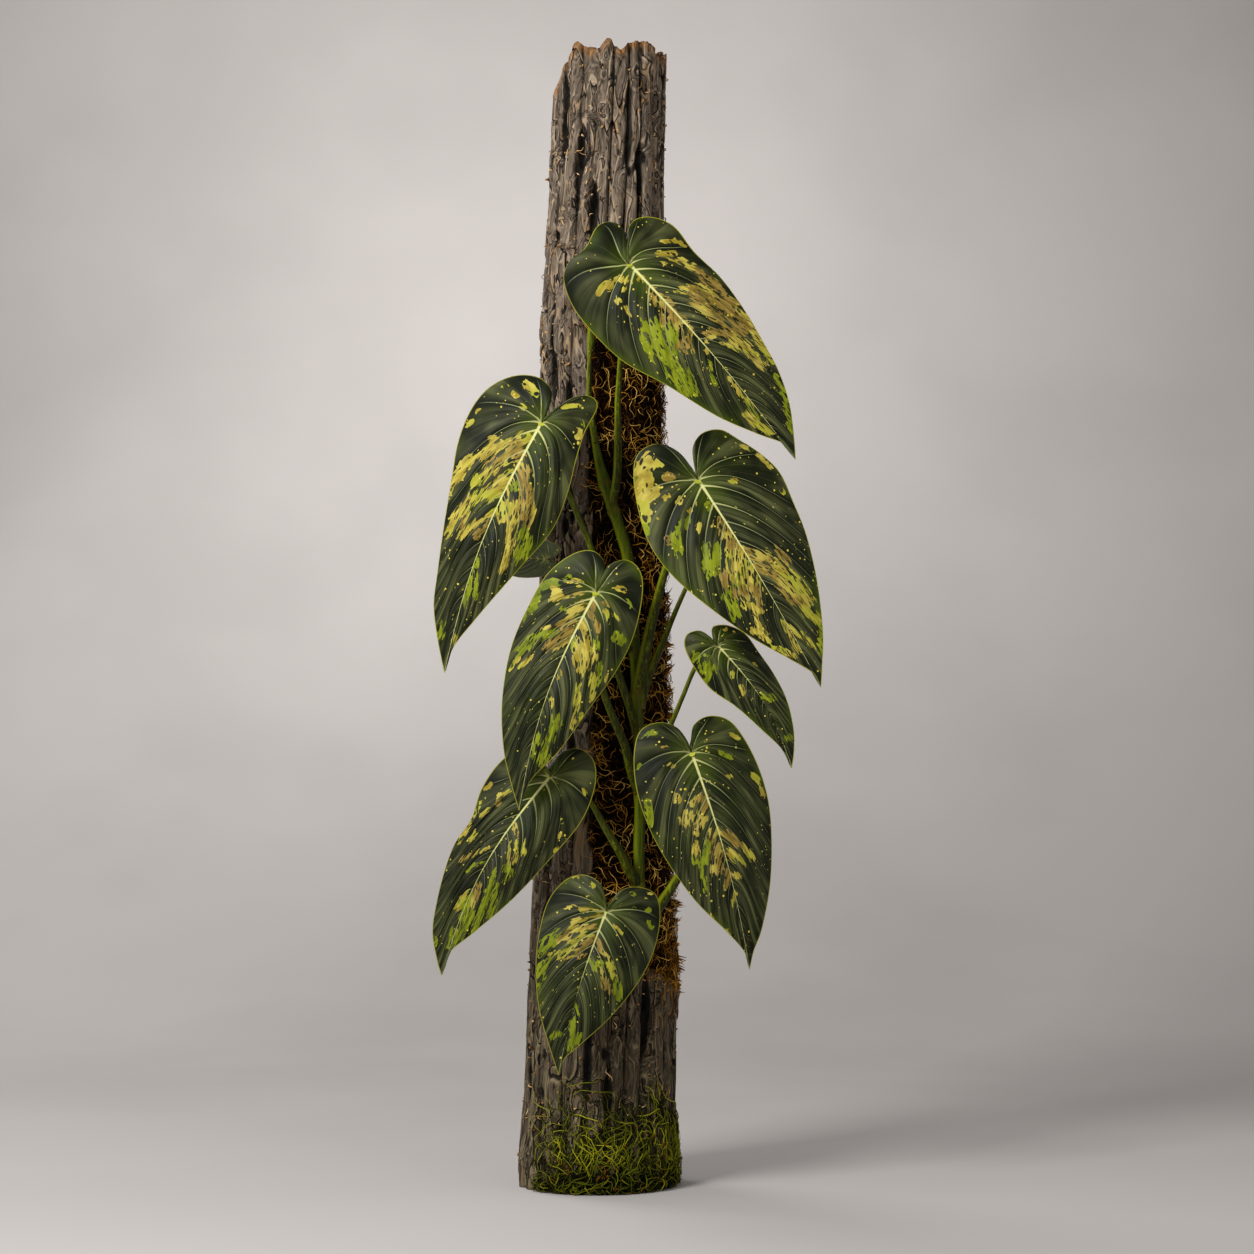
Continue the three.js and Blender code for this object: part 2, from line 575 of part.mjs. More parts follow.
function bladeSolid(leaf, spare = 0) {
  const { columns, rows, basalShare, thickness } = blade;
  const front = [];
  const back = [];
  const halves = { left: halfLeaf(leaf, -1), right: halfLeaf(leaf, 1) };
  for (let i = -columns; i <= columns; i++) {
    const half = i < 0 ? halves.left : halves.right;
    const round = Math.abs(i) / columns;
    // Veins start at the petiole over the lobes, and further down the midrib after them.
    const run = half.length * Math.max(0, (round - basalShare) / (1 - basalShare)) ** 1.15;
    const start = new THREE.Vector2(run, half.bow(run));
    const end = half.outline.getPointAt(round);
    const sag = 0.2 * smooth(round * 2.2) * start.distanceTo(end);
    const columnFront = [];
    const columnBack = [];
    for (let j = 0; j <= rows; j++) {
      const rise = j / rows;
      const spot = alongVein(start, end, sag, rise);
      const x = leaf.attach[0] + half.down.x * spot.x + half.across.x * spot.y;
      const z = leaf.attach[2] + half.down.y * spot.x + half.across.y * spot.y;
      const y = leaf.attach[1] - forward(leaf, half, { run: spot.x, out: spot.y, rise, round });
      columnFront.push(new THREE.Vector3(x, y - thickness / 2 - spare, z));
      columnBack.push(new THREE.Vector3(x, y + thickness / 2 + spare, z));
    }
    front.push(columnFront);
    back.push(columnBack);
  }
  return betweenSheets(front, back, false);
}

// Petioles: from a node of the stem to the back of the blade, stout at the base and slim above

const petioles = {
  right: { radii: [4.6, 2.8], path: [[29, -46, 384], [33, -54, 404], [38, -60, 430], [44, -66, 455], [50, -72, 477],
    [60, -79, 508], [70, -87, 536], [74.4, -98, 545.7]] },
  small_back: { radii: [3.2, 1.7], path: [[31, -46, 372], [37, -47, 394], [43, -50, 410], [49, -52, 424], [55, -54, 439],
    [66, -56, 464], [77, -58, 486], [84, -63, 502], [86, -74, 508]] },
  left: { radii: [3, 2.3], path: [[29, -46, 350], [24, -53, 370], [18, -59, 388], [13, -63, 404], [6, -67, 444],
    [-6, -72, 494], [-15, -76, 516], [-24, -79, 538], [-36, -84, 566], [-42, -91, 583], [-43.3, -101, 588.7]] },
  small_left: { radii: [2.3, 1.6], path: [[26, -46, 415], [17, -55, 424], [8, -58, 434], [-4, -58, 448],
    [-13, -57, 458], [-26, -57, 470], [-35, -59, 479], [-39, -65, 485], [-39.4, -72, 486]] },
  middle: { radii: [3.6, 2.5], path: [[31, -46, 305], [24, -58, 325], [20, -64, 342], [11, -72, 364], [3, -80, 386],
    [-2, -88, 416], [-3, -95, 446], [-2.1, -108, 460.8]] },
  small_right: { radii: [2.8, 1.7], path: [[32, -46, 307], [42, -50, 335], [55, -54, 361], [64, -56, 382],
    [73, -57, 403], [81, -60, 415], [87, -65, 420], [89.9, -72, 420.3]] },
  lower_left: { radii: [3.9, 2.4], path: [[30, -47, 234], [24, -57, 246], [17, -63, 260], [10, -67, 272],
    [3, -69, 284], [-6, -69, 300], [-18, -69, 312], [-30, -73, 319], [-36, -80, 321], [-37.4, -88, 320.8]] },
  lower_right: { radii: [4.2, 2.6], path: [[32, -48, 201], [40, -54, 213], [47, -60, 223], [54, -65, 234],
    [61, -69, 246], [69, -75, 266], [73, -80, 290], [73, -85, 318], [70.5, -90, 334], [69.5, -98, 339.8]] },
  bottom: { radii: [4, 2.8], path: [[32, -48, 192], [26, -61, 205], [17, -74, 214], [9, -86, 219], [5.3, -99, 220]] },
  top: { radii: [3.3, 2], path: [[9, -50, 526], [13, -56, 547], [14, -60, 566], [14, -65, 591], [14, -69, 607],
    [15, -73, 622], [16, -78, 637], [19, -85, 670], [22, -90, 698], [22.7, -98, 708.3]] },
};

// A petiole widens a little again where it meets the blade.
function petioleSolid({ path, radii: [base, neck] }, spare = 0) {
  const radiusAt = (share) => mix(base, neck, smooth(share * 1.5)) + 0.7 * smooth((share - 0.9) / 0.1) + spare;
  return rod(curveThrough(path), radiusAt, stalk.sides, stalk.steps);
}

// The growing tip: a slim stalk out of the stem's head, with the next leaf still rolled up on it
const spearPath = [[-3, -51, 576], [-6, -54, 593], [-8, -57, 612], [-8, -59, 634], [-6, -60, 657], [-3, -61, 684],
  [-1, -61, 706], [0, -60, 727]];

function spearSolid(spare = 0) {
  const leafShare = (share) => THREE.MathUtils.clamp((share - 0.42) / 0.58, 0, 1);
  const radiusAt = (share) => mix(2.7, 1.6, smooth(share * 2.4)) * (1 - 0.85 * leafShare(share))
    + 3.2 * Math.sin(Math.PI * leafShare(share)) ** 0.8 + spare;
  return rod(curveThrough(spearPath), radiusAt, stalk.sides, 2 * stalk.steps);
}

// Assembly

function assemble() {
  const totemBlock = totemSolid();
  const stemRoom = stemSolid(stalk.gap);

  // Each petiole makes room for the stem, its own blade and the petioles before it.
  const stalks = [];
  for (const [name, petiole] of Object.entries(petioles)) {
    const others = stalks.map(({ room }) => room);
    const cutters = wasm.Manifold.union([stemRoom, bladeSolid(leaves[name], stalk.gap), ...others]);
    stalks.push({ name, solid: largest(petioleSolid(petiole).subtract(cutters)), room: petioleSolid(petiole, stalk.gap) });
  }
  const growing = wasm.Manifold.union([stemRoom, spearSolid(stalk.gap), ...stalks.map(({ room }) => room)]);
  const fused = (pad, strands) => largest(wasm.Manifold.union([pad, ...strands]).subtract(totemBlock));

  addPiece('bark_totem', totemBlock, finishes.bark);
  addPiece('coir_fibre', largest(fused(coirPad(), coirStrands()).subtract(growing)), finishes.coir);
  addPiece('moss_skirt', fused(mossPad(), mossStrands()), finishes.moss);
  addPiece('stem', stemSolid(), finishes.stem);
  for (const { name, solid } of stalks) addPiece(`petiole_${name}`, solid, finishes.petiole);
  addPiece('new_leaf_spear', largest(spearSolid().subtract(stemRoom)), finishes.petiole);
  for (const [name, leaf] of Object.entries(leaves)) addPiece(`leaf_${name}`, bladeSolid(leaf), finishes.blade);
}

assemble();

export default part;
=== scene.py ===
import math

import bpy
import numpy as np
from mathutils import Matrix, Vector, noise


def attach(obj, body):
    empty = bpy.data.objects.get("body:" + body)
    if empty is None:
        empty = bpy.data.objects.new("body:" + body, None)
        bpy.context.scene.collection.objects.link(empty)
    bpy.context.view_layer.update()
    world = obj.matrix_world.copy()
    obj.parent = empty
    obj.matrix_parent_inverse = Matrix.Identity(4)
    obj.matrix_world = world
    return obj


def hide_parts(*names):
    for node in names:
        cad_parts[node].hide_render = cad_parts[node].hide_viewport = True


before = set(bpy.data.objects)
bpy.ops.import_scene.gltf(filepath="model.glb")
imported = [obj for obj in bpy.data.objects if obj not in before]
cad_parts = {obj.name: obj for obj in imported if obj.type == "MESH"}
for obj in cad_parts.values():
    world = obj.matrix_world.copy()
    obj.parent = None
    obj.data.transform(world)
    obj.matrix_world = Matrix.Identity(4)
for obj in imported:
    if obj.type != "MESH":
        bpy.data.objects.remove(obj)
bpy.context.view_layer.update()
print("frame loaded:", len(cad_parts), "nodes")

# Lengths below are millimetres, as in the part's own drawing; they turn into metres when a mesh gets its points.
mm = 0.001
fullTurn = 2 * math.pi
curveSteps = 24         # places worked out between two points of a drawn line
mostCuts = 100          # Blender makes no more cuts than this at once
lidInset = 0.96         # share of a lid's radius that its inset rings take up


# Seeded numbers and smooth lines

def seededDraw(seed):
    state = [seed]

    def draw():
        state[0] = (state[0] * 1664525 + 1013904223) % 4294967296
        return state[0] / 4294967296
    return draw


def wandering(seed):
    draw = seededDraw(seed * 7919 + 13)
    draw()
    waves = [(rate, draw() * fullTurn, 0.55 / (i + 1)) for i, rate in enumerate((1, 2.3, 4.7))]
    return lambda x: sum(share * np.sin(rate * x + turn) for rate, turn, share in waves)


def smooth(x):
    x = np.clip(x, 0, 1)
    return x * x * (3 - 2 * x)


def mix(low, high, share):
    return low + (high - low) * share


def along(pairs, at):
    return np.interp(at, [pair[0] for pair in pairs], [pair[1] for pair in pairs])


# Blender's own noise at places given as three columns, of which some may be single numbers
def noiseAt(*columns):
    return np.array([noise.noise(Vector(spot)) for spot in zip(*np.broadcast_arrays(*columns))])


# A centripetal curve through points, as evenly spaced places along it
def curveThrough(path, count):
    path = [np.array(p, float) for p in path]
    path = [2 * path[0] - path[1], *path, 2 * path[-1] - path[-2]]
    made = []
    for a, b, c, d in zip(path, path[1:], path[2:], path[3:]):
        first, middle, last = (max(1e-4, np.linalg.norm(q - p)) ** 0.5 for p, q in ((a, b), (b, c), (c, d)))
        leave = ((b - a) / first - (c - a) / (first + middle) + (c - b) / middle) * middle
        arrive = ((c - b) / middle - (d - b) / (middle + last) + (d - c) / last) * middle
        t = np.linspace(0, 1, curveSteps, endpoint=False)[:, None]
        made.append(b + leave * t + (3 * (c - b) - 2 * leave - arrive) * t ** 2
                    + (2 * (b - c) + leave + arrive) * t ** 3)
    made = np.vstack([*made, path[-2][None]])
    return evenly(made, np.linspace(0, 1, count))


def evenly(points, shares):
    steps = np.r_[0, np.cumsum(np.linalg.norm(np.diff(points, axis=0), axis=1))]
    return np.column_stack([np.interp(shares * steps[-1], steps, points[:, i]) for i in range(points.shape[1])])


# Meshes

def deselectAll():
    if bpy.context.object and bpy.context.object.mode != "OBJECT":
        bpy.ops.object.mode_set(mode="OBJECT")
    bpy.ops.object.select_all(action="DESELECT")


def pickOnly(piece):
    deselectAll()
    piece.select_set(True)
    bpy.context.view_layer.objects.active = piece


def readPoints(piece):
    points = np.zeros(len(piece.data.vertices) * 3)
    piece.data.vertices.foreach_get("co", points)
    return points.reshape(-1, 3)


def writePoints(piece, points):
    piece.data.vertices.foreach_set("co", (np.asarray(points) * mm).ravel())
    piece.data.update()


def keepValues(piece, name, values, domain="POINT"):
    layer = piece.data.attributes.new(name, "FLOAT", domain)
    layer.data.foreach_set("value", np.asarray(values, np.float32))


def keptValues(piece, name):
    values = np.zeros(len(piece.data.vertices), np.float32)
    piece.data.attributes[name].data.foreach_get("value", values)
    return values


def keepColours(piece, name, columns):
    layer = piece.data.attributes.new(name, "FLOAT_COLOR", "POINT")
    layer.data.foreach_set("color", np.column_stack([*columns, np.ones(len(columns[0]))]).astype(np.float32).ravel())


def weld(piece, distance=1e-7, outwards=True):
    pickOnly(piece)
    bpy.ops.object.mode_set(mode="EDIT")
    bpy.ops.mesh.select_all(action="SELECT")
    bpy.ops.mesh.remove_doubles(threshold=distance)
    if outwards:
        bpy.ops.mesh.normals_make_consistent(inside=False)
    bpy.ops.object.mode_set(mode="OBJECT")


# Welds a sheet, turns its face away from the totem's axis and gives it a thickness in mm. The underside's faces come
# after the front ones, whose count is returned, and then the rim.
def thicken(piece, thickness, offset, distance=1e-7):
    weld(piece, distance, outwards=False)
    outward = sum((face.normal.x * face.center.x + face.normal.y * face.center.y) * face.area
                  for face in piece.data.polygons)
    if outward < 0:
        piece.data.flip_normals()
    fronts = len(piece.data.polygons)
    wall = piece.modifiers.new("thickness", "SOLIDIFY")
    wall.thickness, wall.offset = thickness * mm, offset
    pickOnly(piece)
    bpy.ops.object.modifier_apply(modifier="thickness")
    bpy.ops.object.shade_smooth_by_angle(angle=math.radians(70))
    return fronts


def dress(piece, materials, nodes=()):
    for material in materials:
        piece.data.materials.append(material)
    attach(piece, "root")
    if nodes:
        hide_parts(*nodes)
    print(piece.name, len(piece.data.polygons), "faces")


def gridBlank(name, columns, rows):
    deselectAll()
    bpy.ops.mesh.primitive_grid_add(x_subdivisions=columns, y_subdivisions=rows, size=2)
    blank = bpy.context.object
    blank.name = blank.data.name = name
    return blank


# A cylinder primitive of unit radius and height, cut into rings, with its lid inset in steps
def cylinderBlank(name, sides, rings, lidSteps=0):
    deselectAll()
    bpy.ops.mesh.primitive_cylinder_add(vertices=sides, radius=1, depth=1, end_fill_type="NGON", location=(0, 0, 0))
    blank = bpy.context.object
    blank.name = blank.data.name = name
    blank.data.transform(Matrix.Translation((0, 0, 0.5)))
    # Where one round of cuts isn't enough, a second one cuts each ring in five
    for parts in ((rings,) if rings <= mostCuts else (rings // 5, 5)):
        bpy.ops.object.mode_set(mode="EDIT")
        bpy.ops.mesh.select_mode(type="EDGE")
        bpy.ops.mesh.select_all(action="DESELECT")
        bpy.ops.object.mode_set(mode="OBJECT")
        heights = [v.co.z for v in blank.data.vertices]
        for edge in blank.data.edges:
            edge.select = abs(heights[edge.vertices[0]] - heights[edge.vertices[1]]) > 0.5 / rings
        bpy.ops.object.mode_set(mode="EDIT")
        bpy.ops.mesh.subdivide(number_cuts=parts - 1)
    bpy.ops.mesh.select_mode(type="FACE")
    for end, steps in ((1, lidSteps), (-1, 0)):
        bpy.ops.mesh.select_all(action="DESELECT")
        bpy.ops.object.mode_set(mode="OBJECT")
        for face in blank.data.polygons:
            face.select = face.normal.z * end > 0.5
        bpy.ops.object.mode_set(mode="EDIT")
        for _ in range(steps):
            bpy.ops.mesh.inset(thickness=lidInset / (steps + 0.5))
        bpy.ops.mesh.poke()
    bpy.ops.object.mode_set(mode="OBJECT")
    return blank


# A round rod along a path. radiusAt takes the share of the length and the turn round the rod.
def rodPiece(name, path, radiusAt, sides=16, rings=64):
    line = curveThrough(path, rings + 1)
    ahead = np.gradient(line, axis=0)
    ahead /= np.linalg.norm(ahead, axis=1)[:, None]
    side = np.cross(ahead[0], (0.3, 1, 0.2))        # any way that no rod goes
    sideways = []
    for direction in ahead:
        side = side - direction * side.dot(direction)
        side /= np.linalg.norm(side)
        sideways.append(side)
    sideways = np.array(sideways)
    upright = np.cross(ahead, sideways)
    blank = cylinderBlank(name, sides, rings)
    raw = readPoints(blank)
    ring = np.rint(raw[:, 2] * rings).astype(int)
    share = ring / rings
    turn = np.arctan2(raw[:, 1], raw[:, 0])
    out = np.hypot(raw[:, 0], raw[:, 1]) * radiusAt(share, turn)
    outward = np.cos(turn)[:, None] * sideways[ring] + np.sin(turn)[:, None] * upright[ring]
    writePoints(blank, line[ring] + out[:, None] * outward)
    keepValues(blank, "share", share)
    keepValues(blank, "litSide", outward @ np.array([-0.86, -0.5, 0.1]))       # how far each point faces the light, for a painted highlight there and painted shade opposite
    weld(blank)
    bpy.ops.object.shade_smooth_by_angle(angle=math.radians(60))
    return blank


# Many thin strands in one mesh. paths has the shape strands x places x 3; thick is each strand's radius in mm,
# taper what is left of it at each place.
def strandPiece(name, paths, thick, taper, tones, sides=3):
    strands, places, _ = paths.shape
    radii = thick[:, None] * np.array(taper)[None, :]
    ahead = np.gradient(paths, axis=1)
    ahead /= np.linalg.norm(ahead, axis=2)[:, :, None] + 1e-9
    side = np.cross(ahead, np.array([0.21, 0.35, 0.91]))        # any way that hardly a strand goes
    side /= np.linalg.norm(side, axis=2)[:, :, None] + 1e-9
    other = np.cross(ahead, side)
    points = np.stack([paths + radii[:, :, None] * (math.cos(a) * side + math.sin(a) * other)
                       for a in np.arange(sides) * fullTurn / sides], axis=2)
    faces = []
    for s in range(strands):
        first = s * places * sides
        for p in range(places - 1):
            low = first + p * sides
            faces += [(low + i, low + (i + 1) % sides, low + sides + (i + 1) % sides, low + sides + i)
                      for i in range(sides)]
        faces.append(tuple(first + i for i in reversed(range(sides))))
        faces.append(tuple(first + (places - 1) * sides + i for i in range(sides)))
    mesh = bpy.data.meshes.new(name)
    mesh.from_pydata((points.reshape(-1, 3) * mm).tolist(), [], faces)
    piece = bpy.data.objects.new(name, mesh)
    bpy.context.scene.collection.objects.link(piece)
    keepValues(piece, "toneAndShade", np.repeat(tones, places * sides))
    keepValues(piece, "share", np.tile(np.repeat(np.linspace(0, 1, places), sides), strands))
    mesh.polygons.foreach_set("use_smooth", [True] * len(mesh.polygons))
    return piece


# The totem's shape: the same ridges, fissures and missing strip as in the part's own drawing

totem = {
    "height": 890,
    "radii": [[0, 59.5], [25, 60], [65, 57.3], [155, 57], [221, 54.6], [300, 52], [455, 49], [666, 47.3],
              [767, 43.5], [890, 41.6]],
    "centres": [[0, -2.4], [65, -0.7], [155, 2.6], [300, 4], [455, 3.4], [666, 1.8], [767, 4.2], [890, 8.5]],
    "ridges": 18,
    "wanderEvery": 95,      # mm
    "wander": math.radians(2.6),
    # mm that each ridge's head lacks, and how much more the whole left side does
    "broken": [3, 7, 3, 6, 11, 8, 5, 9, 4, 7, 2, 8, 5, 9, 6, 8, 3, 13],
    "brokenLeft": 50,
    "rimTop": 887.6, "lidTop": 886, "headHollow": 9,
    # The broken rim as it shows from the front, sideways and up
    "rimInFront": [[-34, 843], [-27, 864], [-18.7, 884], [-15.5, 886.5], [-13.6, 884], [-12.2, 880.6],
                   [-9.7, 882.4], [-6.6, 878.7], [-1.4, 879], [2.4, 884], [5.6, 887.5], [9.2, 887], [10.7, 882.4],
                   [13.2, 881], [16.4, 877.8], [19.5, 882], [24, 885.2], [29.8, 886.6], [36.2, 886.4],
                   [39.4, 883.6], [46.4, 878.4], [50, 873]],
}
channel = {"lastRidge": 7, "start": math.radians(-101), "end": math.radians(32), "footLeft": 190,
           "footRight": 138, "head": 705, "depth": 9}

ridgeDraw = seededDraw(41)
ridges = [{"width": 0.7 + 0.6 * ridgeDraw(), "depth": 0.65 + 0.6 * ridgeDraw(), "lift": ridgeDraw() - 0.5,
           "opening": wandering(100 + i), "sway": wandering(200 + i)} for i in range(totem["ridges"])]


def fissureAngles():
    inside, outside = ridges[:channel["lastRidge"]], ridges[channel["lastRidge"]:]
    width = channel["end"] - channel["start"]
    angles = [channel["start"]]
    for group, room in ((inside, width), (outside, fullTurn - width)):
        total = sum(ridge["width"] for ridge in group)
        for ridge in group:
            angles.append(angles[-1] + ridge["width"] / total * room)
    return angles


fissures = fissureAngles()


# Where a fissure lies at a height; the two edges of the channel wander only half as far
def edgeAngle(edge, height):
    own = edge % totem["ridges"]
    still = 0.5 if own in (0, channel["lastRidge"]) else 1
    return fissures[edge] + totem["wander"] * still * ridges[own]["sway"](height / totem["wanderEvery"])


def roundTheTotem(angle, height, radius):
    return np.stack([along(totem["centres"], height) + radius * np.cos(angle), radius * np.sin(angle),
                     height + 0 * angle], axis=-1)


def channelShare(angle):
    turned = (angle - channel["start"]) % fullTurn
    return turned / (channel["end"] - channel["start"])


def channelFoot(angle):
    share = channelShare(angle)
    back = (share - 1) / (fullTurn / (channel["end"] - channel["start"]) - 1)
    return np.where(share <= 1, mix(channel["footLeft"], channel["footRight"], share),
                    mix(channel["footRight"], channel["footLeft"], back))


# Bark: one fine column whose corners follow the ridges, with plates, creases, pits and a broken hollow head

bark = {
    "cornersToARidge": 13, "rings": 370, "lidSteps": 12,
    "fissure": 1.2,         # mm to each side where a fissure is closed, and how much more where it gapes
    "gape": 1.8,
    "gapeEvery": 34,        # mm
    "lift": 0.8,            # mm that some ridges stand higher than others
    "crown": 1.5,           # mm that a ridge's middle stands over its edges
    "plate": 1.2,           # mm that one plate of bark stands over the next, and the same for small plates
    "smallPlate": 0.3,
    "crease": 2.6,          # mm, depth of the creases between plates
    "smallCrease": 0.7,
    "flute": 0.4,           # mm, height of the fine long ribs
    "lump": 2.0,
    "proudest": 2.1,        # mm that the bark may stand over the part's own drawing
    "pits": 170, "knots": 52, "pit": 3.0, "lip": 0.9,
    "heights": (22, 867),   # mm, where pits and knots lie
    # Noises on the bark: mm across, mm up and a seed
    "noises": {"warp": (15, 44, 1), "fineWarp": (6, 19, 6), "plates": (7, 40, 12), "smallPlates": (3.3, 22, 17),
               "present": (20, 38, 8), "smallPresent": (14, 30, 21), "flute": (2.2, 34, 3), "lump": (14, 30, 5)},
}


def barkPiece():
    count = bark["cornersToARidge"]
    sides = totem["ridges"] * count
    blank = cylinderBlank("barkColumn", sides, bark["rings"], bark["lidSteps"])
    raw = readPoints(blank)
    turn = np.arctan2(raw[:, 1], raw[:, 0]) % fullTurn
    column = np.rint(turn / fullTurn * sides).astype(int) % sides
    out = np.clip(np.hypot(raw[:, 0], raw[:, 1]), 0, 1)
    ridge = column // count
    step = (column % count) / count
    share = step - 0.05 * np.sin(fullTurn * step)     # corners crowd at the fissures

    # Rings are level at the foot and follow the broken rim at the head
    headAngles = np.array([edgeAngle(r, totem["height"]) for r in range(totem["ridges"] + 1)])
    angleTop = mix(headAngles[ridge], headAngles[ridge + 1], share)
    broken = np.array(totem["broken"], float)
    middles = (headAngles[:-1] + headAngles[1:]) / 2
    sloped = np.interp(angleTop, middles, broken, period=fullTurn)
    left = smooth((-np.cos(angleTop) - 0.6) / 0.42)
    splinter = 2.6 * noiseAt(angleTop * 9, 2.7, 0) + 2.2 * noiseAt(angleTop * 27, 0.4, 0)
    rim = (totem["height"] - mix(sloped, broken[ridge], 0.55) - totem["brokenLeft"] * left
           - 3.2 * np.exp(-(np.minimum(share, 1 - share) / 0.07) ** 2) + splinter)
    headX = along(totem["centres"], totem["height"]) + along(totem["radii"], totem["height"]) * np.cos(angleTop)
    facing = smooth((0.12 - np.sin(angleTop)) / 0.3)
    rim = mix(rim, along(totem["rimInFront"], headX) + 0.35 * splinter, facing)
    rim = np.minimum(rim, totem["rimTop"])
    height = raw[:, 2] * rim

    edges = np.array([edgeAngle(r, height) for r in range(totem["ridges"] + 1)])
    pick = np.arange(len(column))
    low, high = edges[ridge, pick], edges[ridge + 1, pick]
    angle = mix(low, high, share)
    radius = along(totem["radii"], height)
    depth = np.array([r["depth"] for r in ridges])[ridge]
    lift = np.array([r["lift"] for r in ridges])[ridge]

    # Distance to the nearer fissure in mm, and how far that fissure gapes at this height
    nearRight = share > 0.5
    nearest = np.where(nearRight, 1 - share, share) * (high - low) * radius
    opening = np.array([r["opening"](height / bark["gapeEvery"]) for r in ridges + ridges[:1]])
    gape = np.where(nearRight, opening[ridge + 1, pick], opening[ridge, pick])
    gaping = smooth((gape - 0.05) / 0.7)
    fissure = np.exp(-(nearest / (bark["fissure"] + bark["gape"] * gaping)) ** 1.6)
    fissureDepth = (2.2 + 3.4 * gaping) * (0.6 + 0.5 * depth)
    crown = np.sin(math.pi * share) ** 0.6

    def field(places, key):
        across, up, seed = bark["noises"][key]
        x, y, z = places.T
        return noiseAt(x / across, y / across, z / up + seed * 7.3)
    upright = np.column_stack([radius * np.cos(angle), radius * np.sin(angle), height])

    # Pits and knots: oval holes that get painted shade, some with a raised lip, and the grain bends round them
    draw = seededDraw(907)
    pit, lip, swirl = np.zeros((3, len(height)))
    lowest, highest = bark["heights"]
    for i in range(bark["pits"] + bark["knots"]):
        knot = i < bark["knots"]
        a, h, size, deep = draw() * fullTurn, mix(lowest, highest, draw()), draw(), draw()
        wide = 1.7 + 2.2 * size if knot else 0.9 + 0.9 * size
        tall = wide * (1.5 + 1.2 * deep)
        across = ((angle - a + math.pi) % fullTurn - math.pi) * radius
        far = np.hypot(across / wide, (height - h) / tall)
        pit = np.maximum(pit, np.exp(-(far / 0.85) ** 3) * (0.55 + 0.45 * deep))
        if knot:
            lip = np.maximum(lip, np.exp(-((far - 1.5) / 0.5) ** 2))
            swirl += across * np.exp(-(far / 3.2) ** 2) * 0.6
    warp = swirl + 3.4 * field(upright, "warp") + 1.1 * field(upright, "fineWarp")      # mm
    bent = angle + warp / radius
    grain = np.column_stack([radius * np.cos(bent), radius * np.sin(bent), height])
    plates, small, flute = (field(grain, key) for key in ("plates", "smallPlates", "flute"))
    lump = field(upright, "lump")
    present = smooth(2.4 * field(upright, "present") + 0.62)
    crease = np.exp(-(np.abs(plates) / 0.055) ** 1.3) * present
    smallCrease = np.exp(-(np.abs(small) / 0.06) ** 1.3) * smooth(2.6 * field(upright, "smallPresent") + 0.35)

    relief = (bark["lift"] * lift + bark["crown"] * crown + bark["lump"] * lump + bark["flute"] * flute
              + bark["plate"] * np.tanh(plates * 7) + bark["smallPlate"] * np.tanh(small * 6)
              - fissureDepth * fissure - bark["crease"] * crease - bark["smallCrease"] * smallCrease
              - bark["pit"] * pit + bark["lip"] * lip)
    strip = channelShare(angle)
    inStrip = (strip > 0.004) & (strip < 0.996)
    foot = channelFoot(angle)
    sunk = inStrip * smooth((height - foot) / 6) * smooth((channel["head"] - height) / 6)
    outer = mix(np.minimum(radius + relief, radius + bark["proudest"]), radius - channel["depth"], sunk)

    centre = along(totem["centres"], height)
    x, y, z = centre + outer * np.cos(angle), outer * np.sin(angle), height.copy()

    # The lid: splintered wood that falls to a hollow; the underside stays flat
    lid = (raw[:, 2] > 0.9999) & (out < 0.999)
    topCentre = along(totem["centres"], totem["height"])
    inner = out[lid]
    x[lid], y[lid] = mix(topCentre, x[lid], inner), y[lid] * inner
    splinters = 5 * noiseAt(x[lid] / 10, y[lid] / 7, 3) + 3 * noiseAt(x[lid] / 3.6, y[lid] / 3, 5)
    z[lid] = (mix(totem["height"] - totem["headHollow"], rim[lid] - 1.5, inner ** 5) - 1
              + splinters * (1 - inner ** 7))
    z[lid] = np.minimum(z[lid], np.where(inner > 0.97, rim[lid] - 0.5, totem["lidTop"]))
    grain[lid] = np.column_stack([x, y, z])[lid]
    present[lid] = 0
    z[raw[:, 2] < 1e-6] = 0
    writePoints(blank, np.column_stack([x, y, z]))

    # How much painted shade the fissures and pits get
    keepValues(blank, "creviceShade", np.clip(fissure * (0.45 + 0.75 * gaping) + 0.95 * pit, 0, 1))
    keepValues(blank, "plates", plates)
    keepValues(blank, "present", present)
    keepValues(blank, "brokenWood", np.where(lid, 1, smooth((height - rim + 9) / 8)))
    layer = blank.data.attributes.new("grainPlace", "FLOAT_VECTOR", "POINT")
    layer.data.foreach_set("vector", (grain * mm).astype(np.float32).ravel())
    weld(blank)
    bpy.ops.object.shade_smooth()
    return blank


# What lies round the totem: pads of grid meshes and many thin strands

usualRadius = 52        # mm; turns a length round the totem into an angle


# The lumps of a pad: noises, each with its mm round the totem, mm up, seed and share
def lumpsAt(angle, height, look):
    return sum(share * noiseAt(angle * look["lumpRadius"] / wide, height / tall, seed)
               for wide, tall, seed, share in look["lumps"])


# A pad's grid, with the share of its width and of its height at each point
def padBlank(name, look):
    pad = gridBlank(name, look["around"], look["up"])
    raw = readPoints(pad)
    return pad, (raw[:, 0] + 1) / 2, (raw[:, 1] + 1) / 2


def finishPad(pad, angle, height, radius, lumps, backing):
    writePoints(pad, roundTheTotem(angle, height, radius))
    # Painted shade in the pad's hollows, lighter on its lumps
    keepValues(pad, "toneAndShade", np.clip(0.5 + 0.5 * lumps, 0, 1))
    thicken(pad, backing, -1)
    return pad


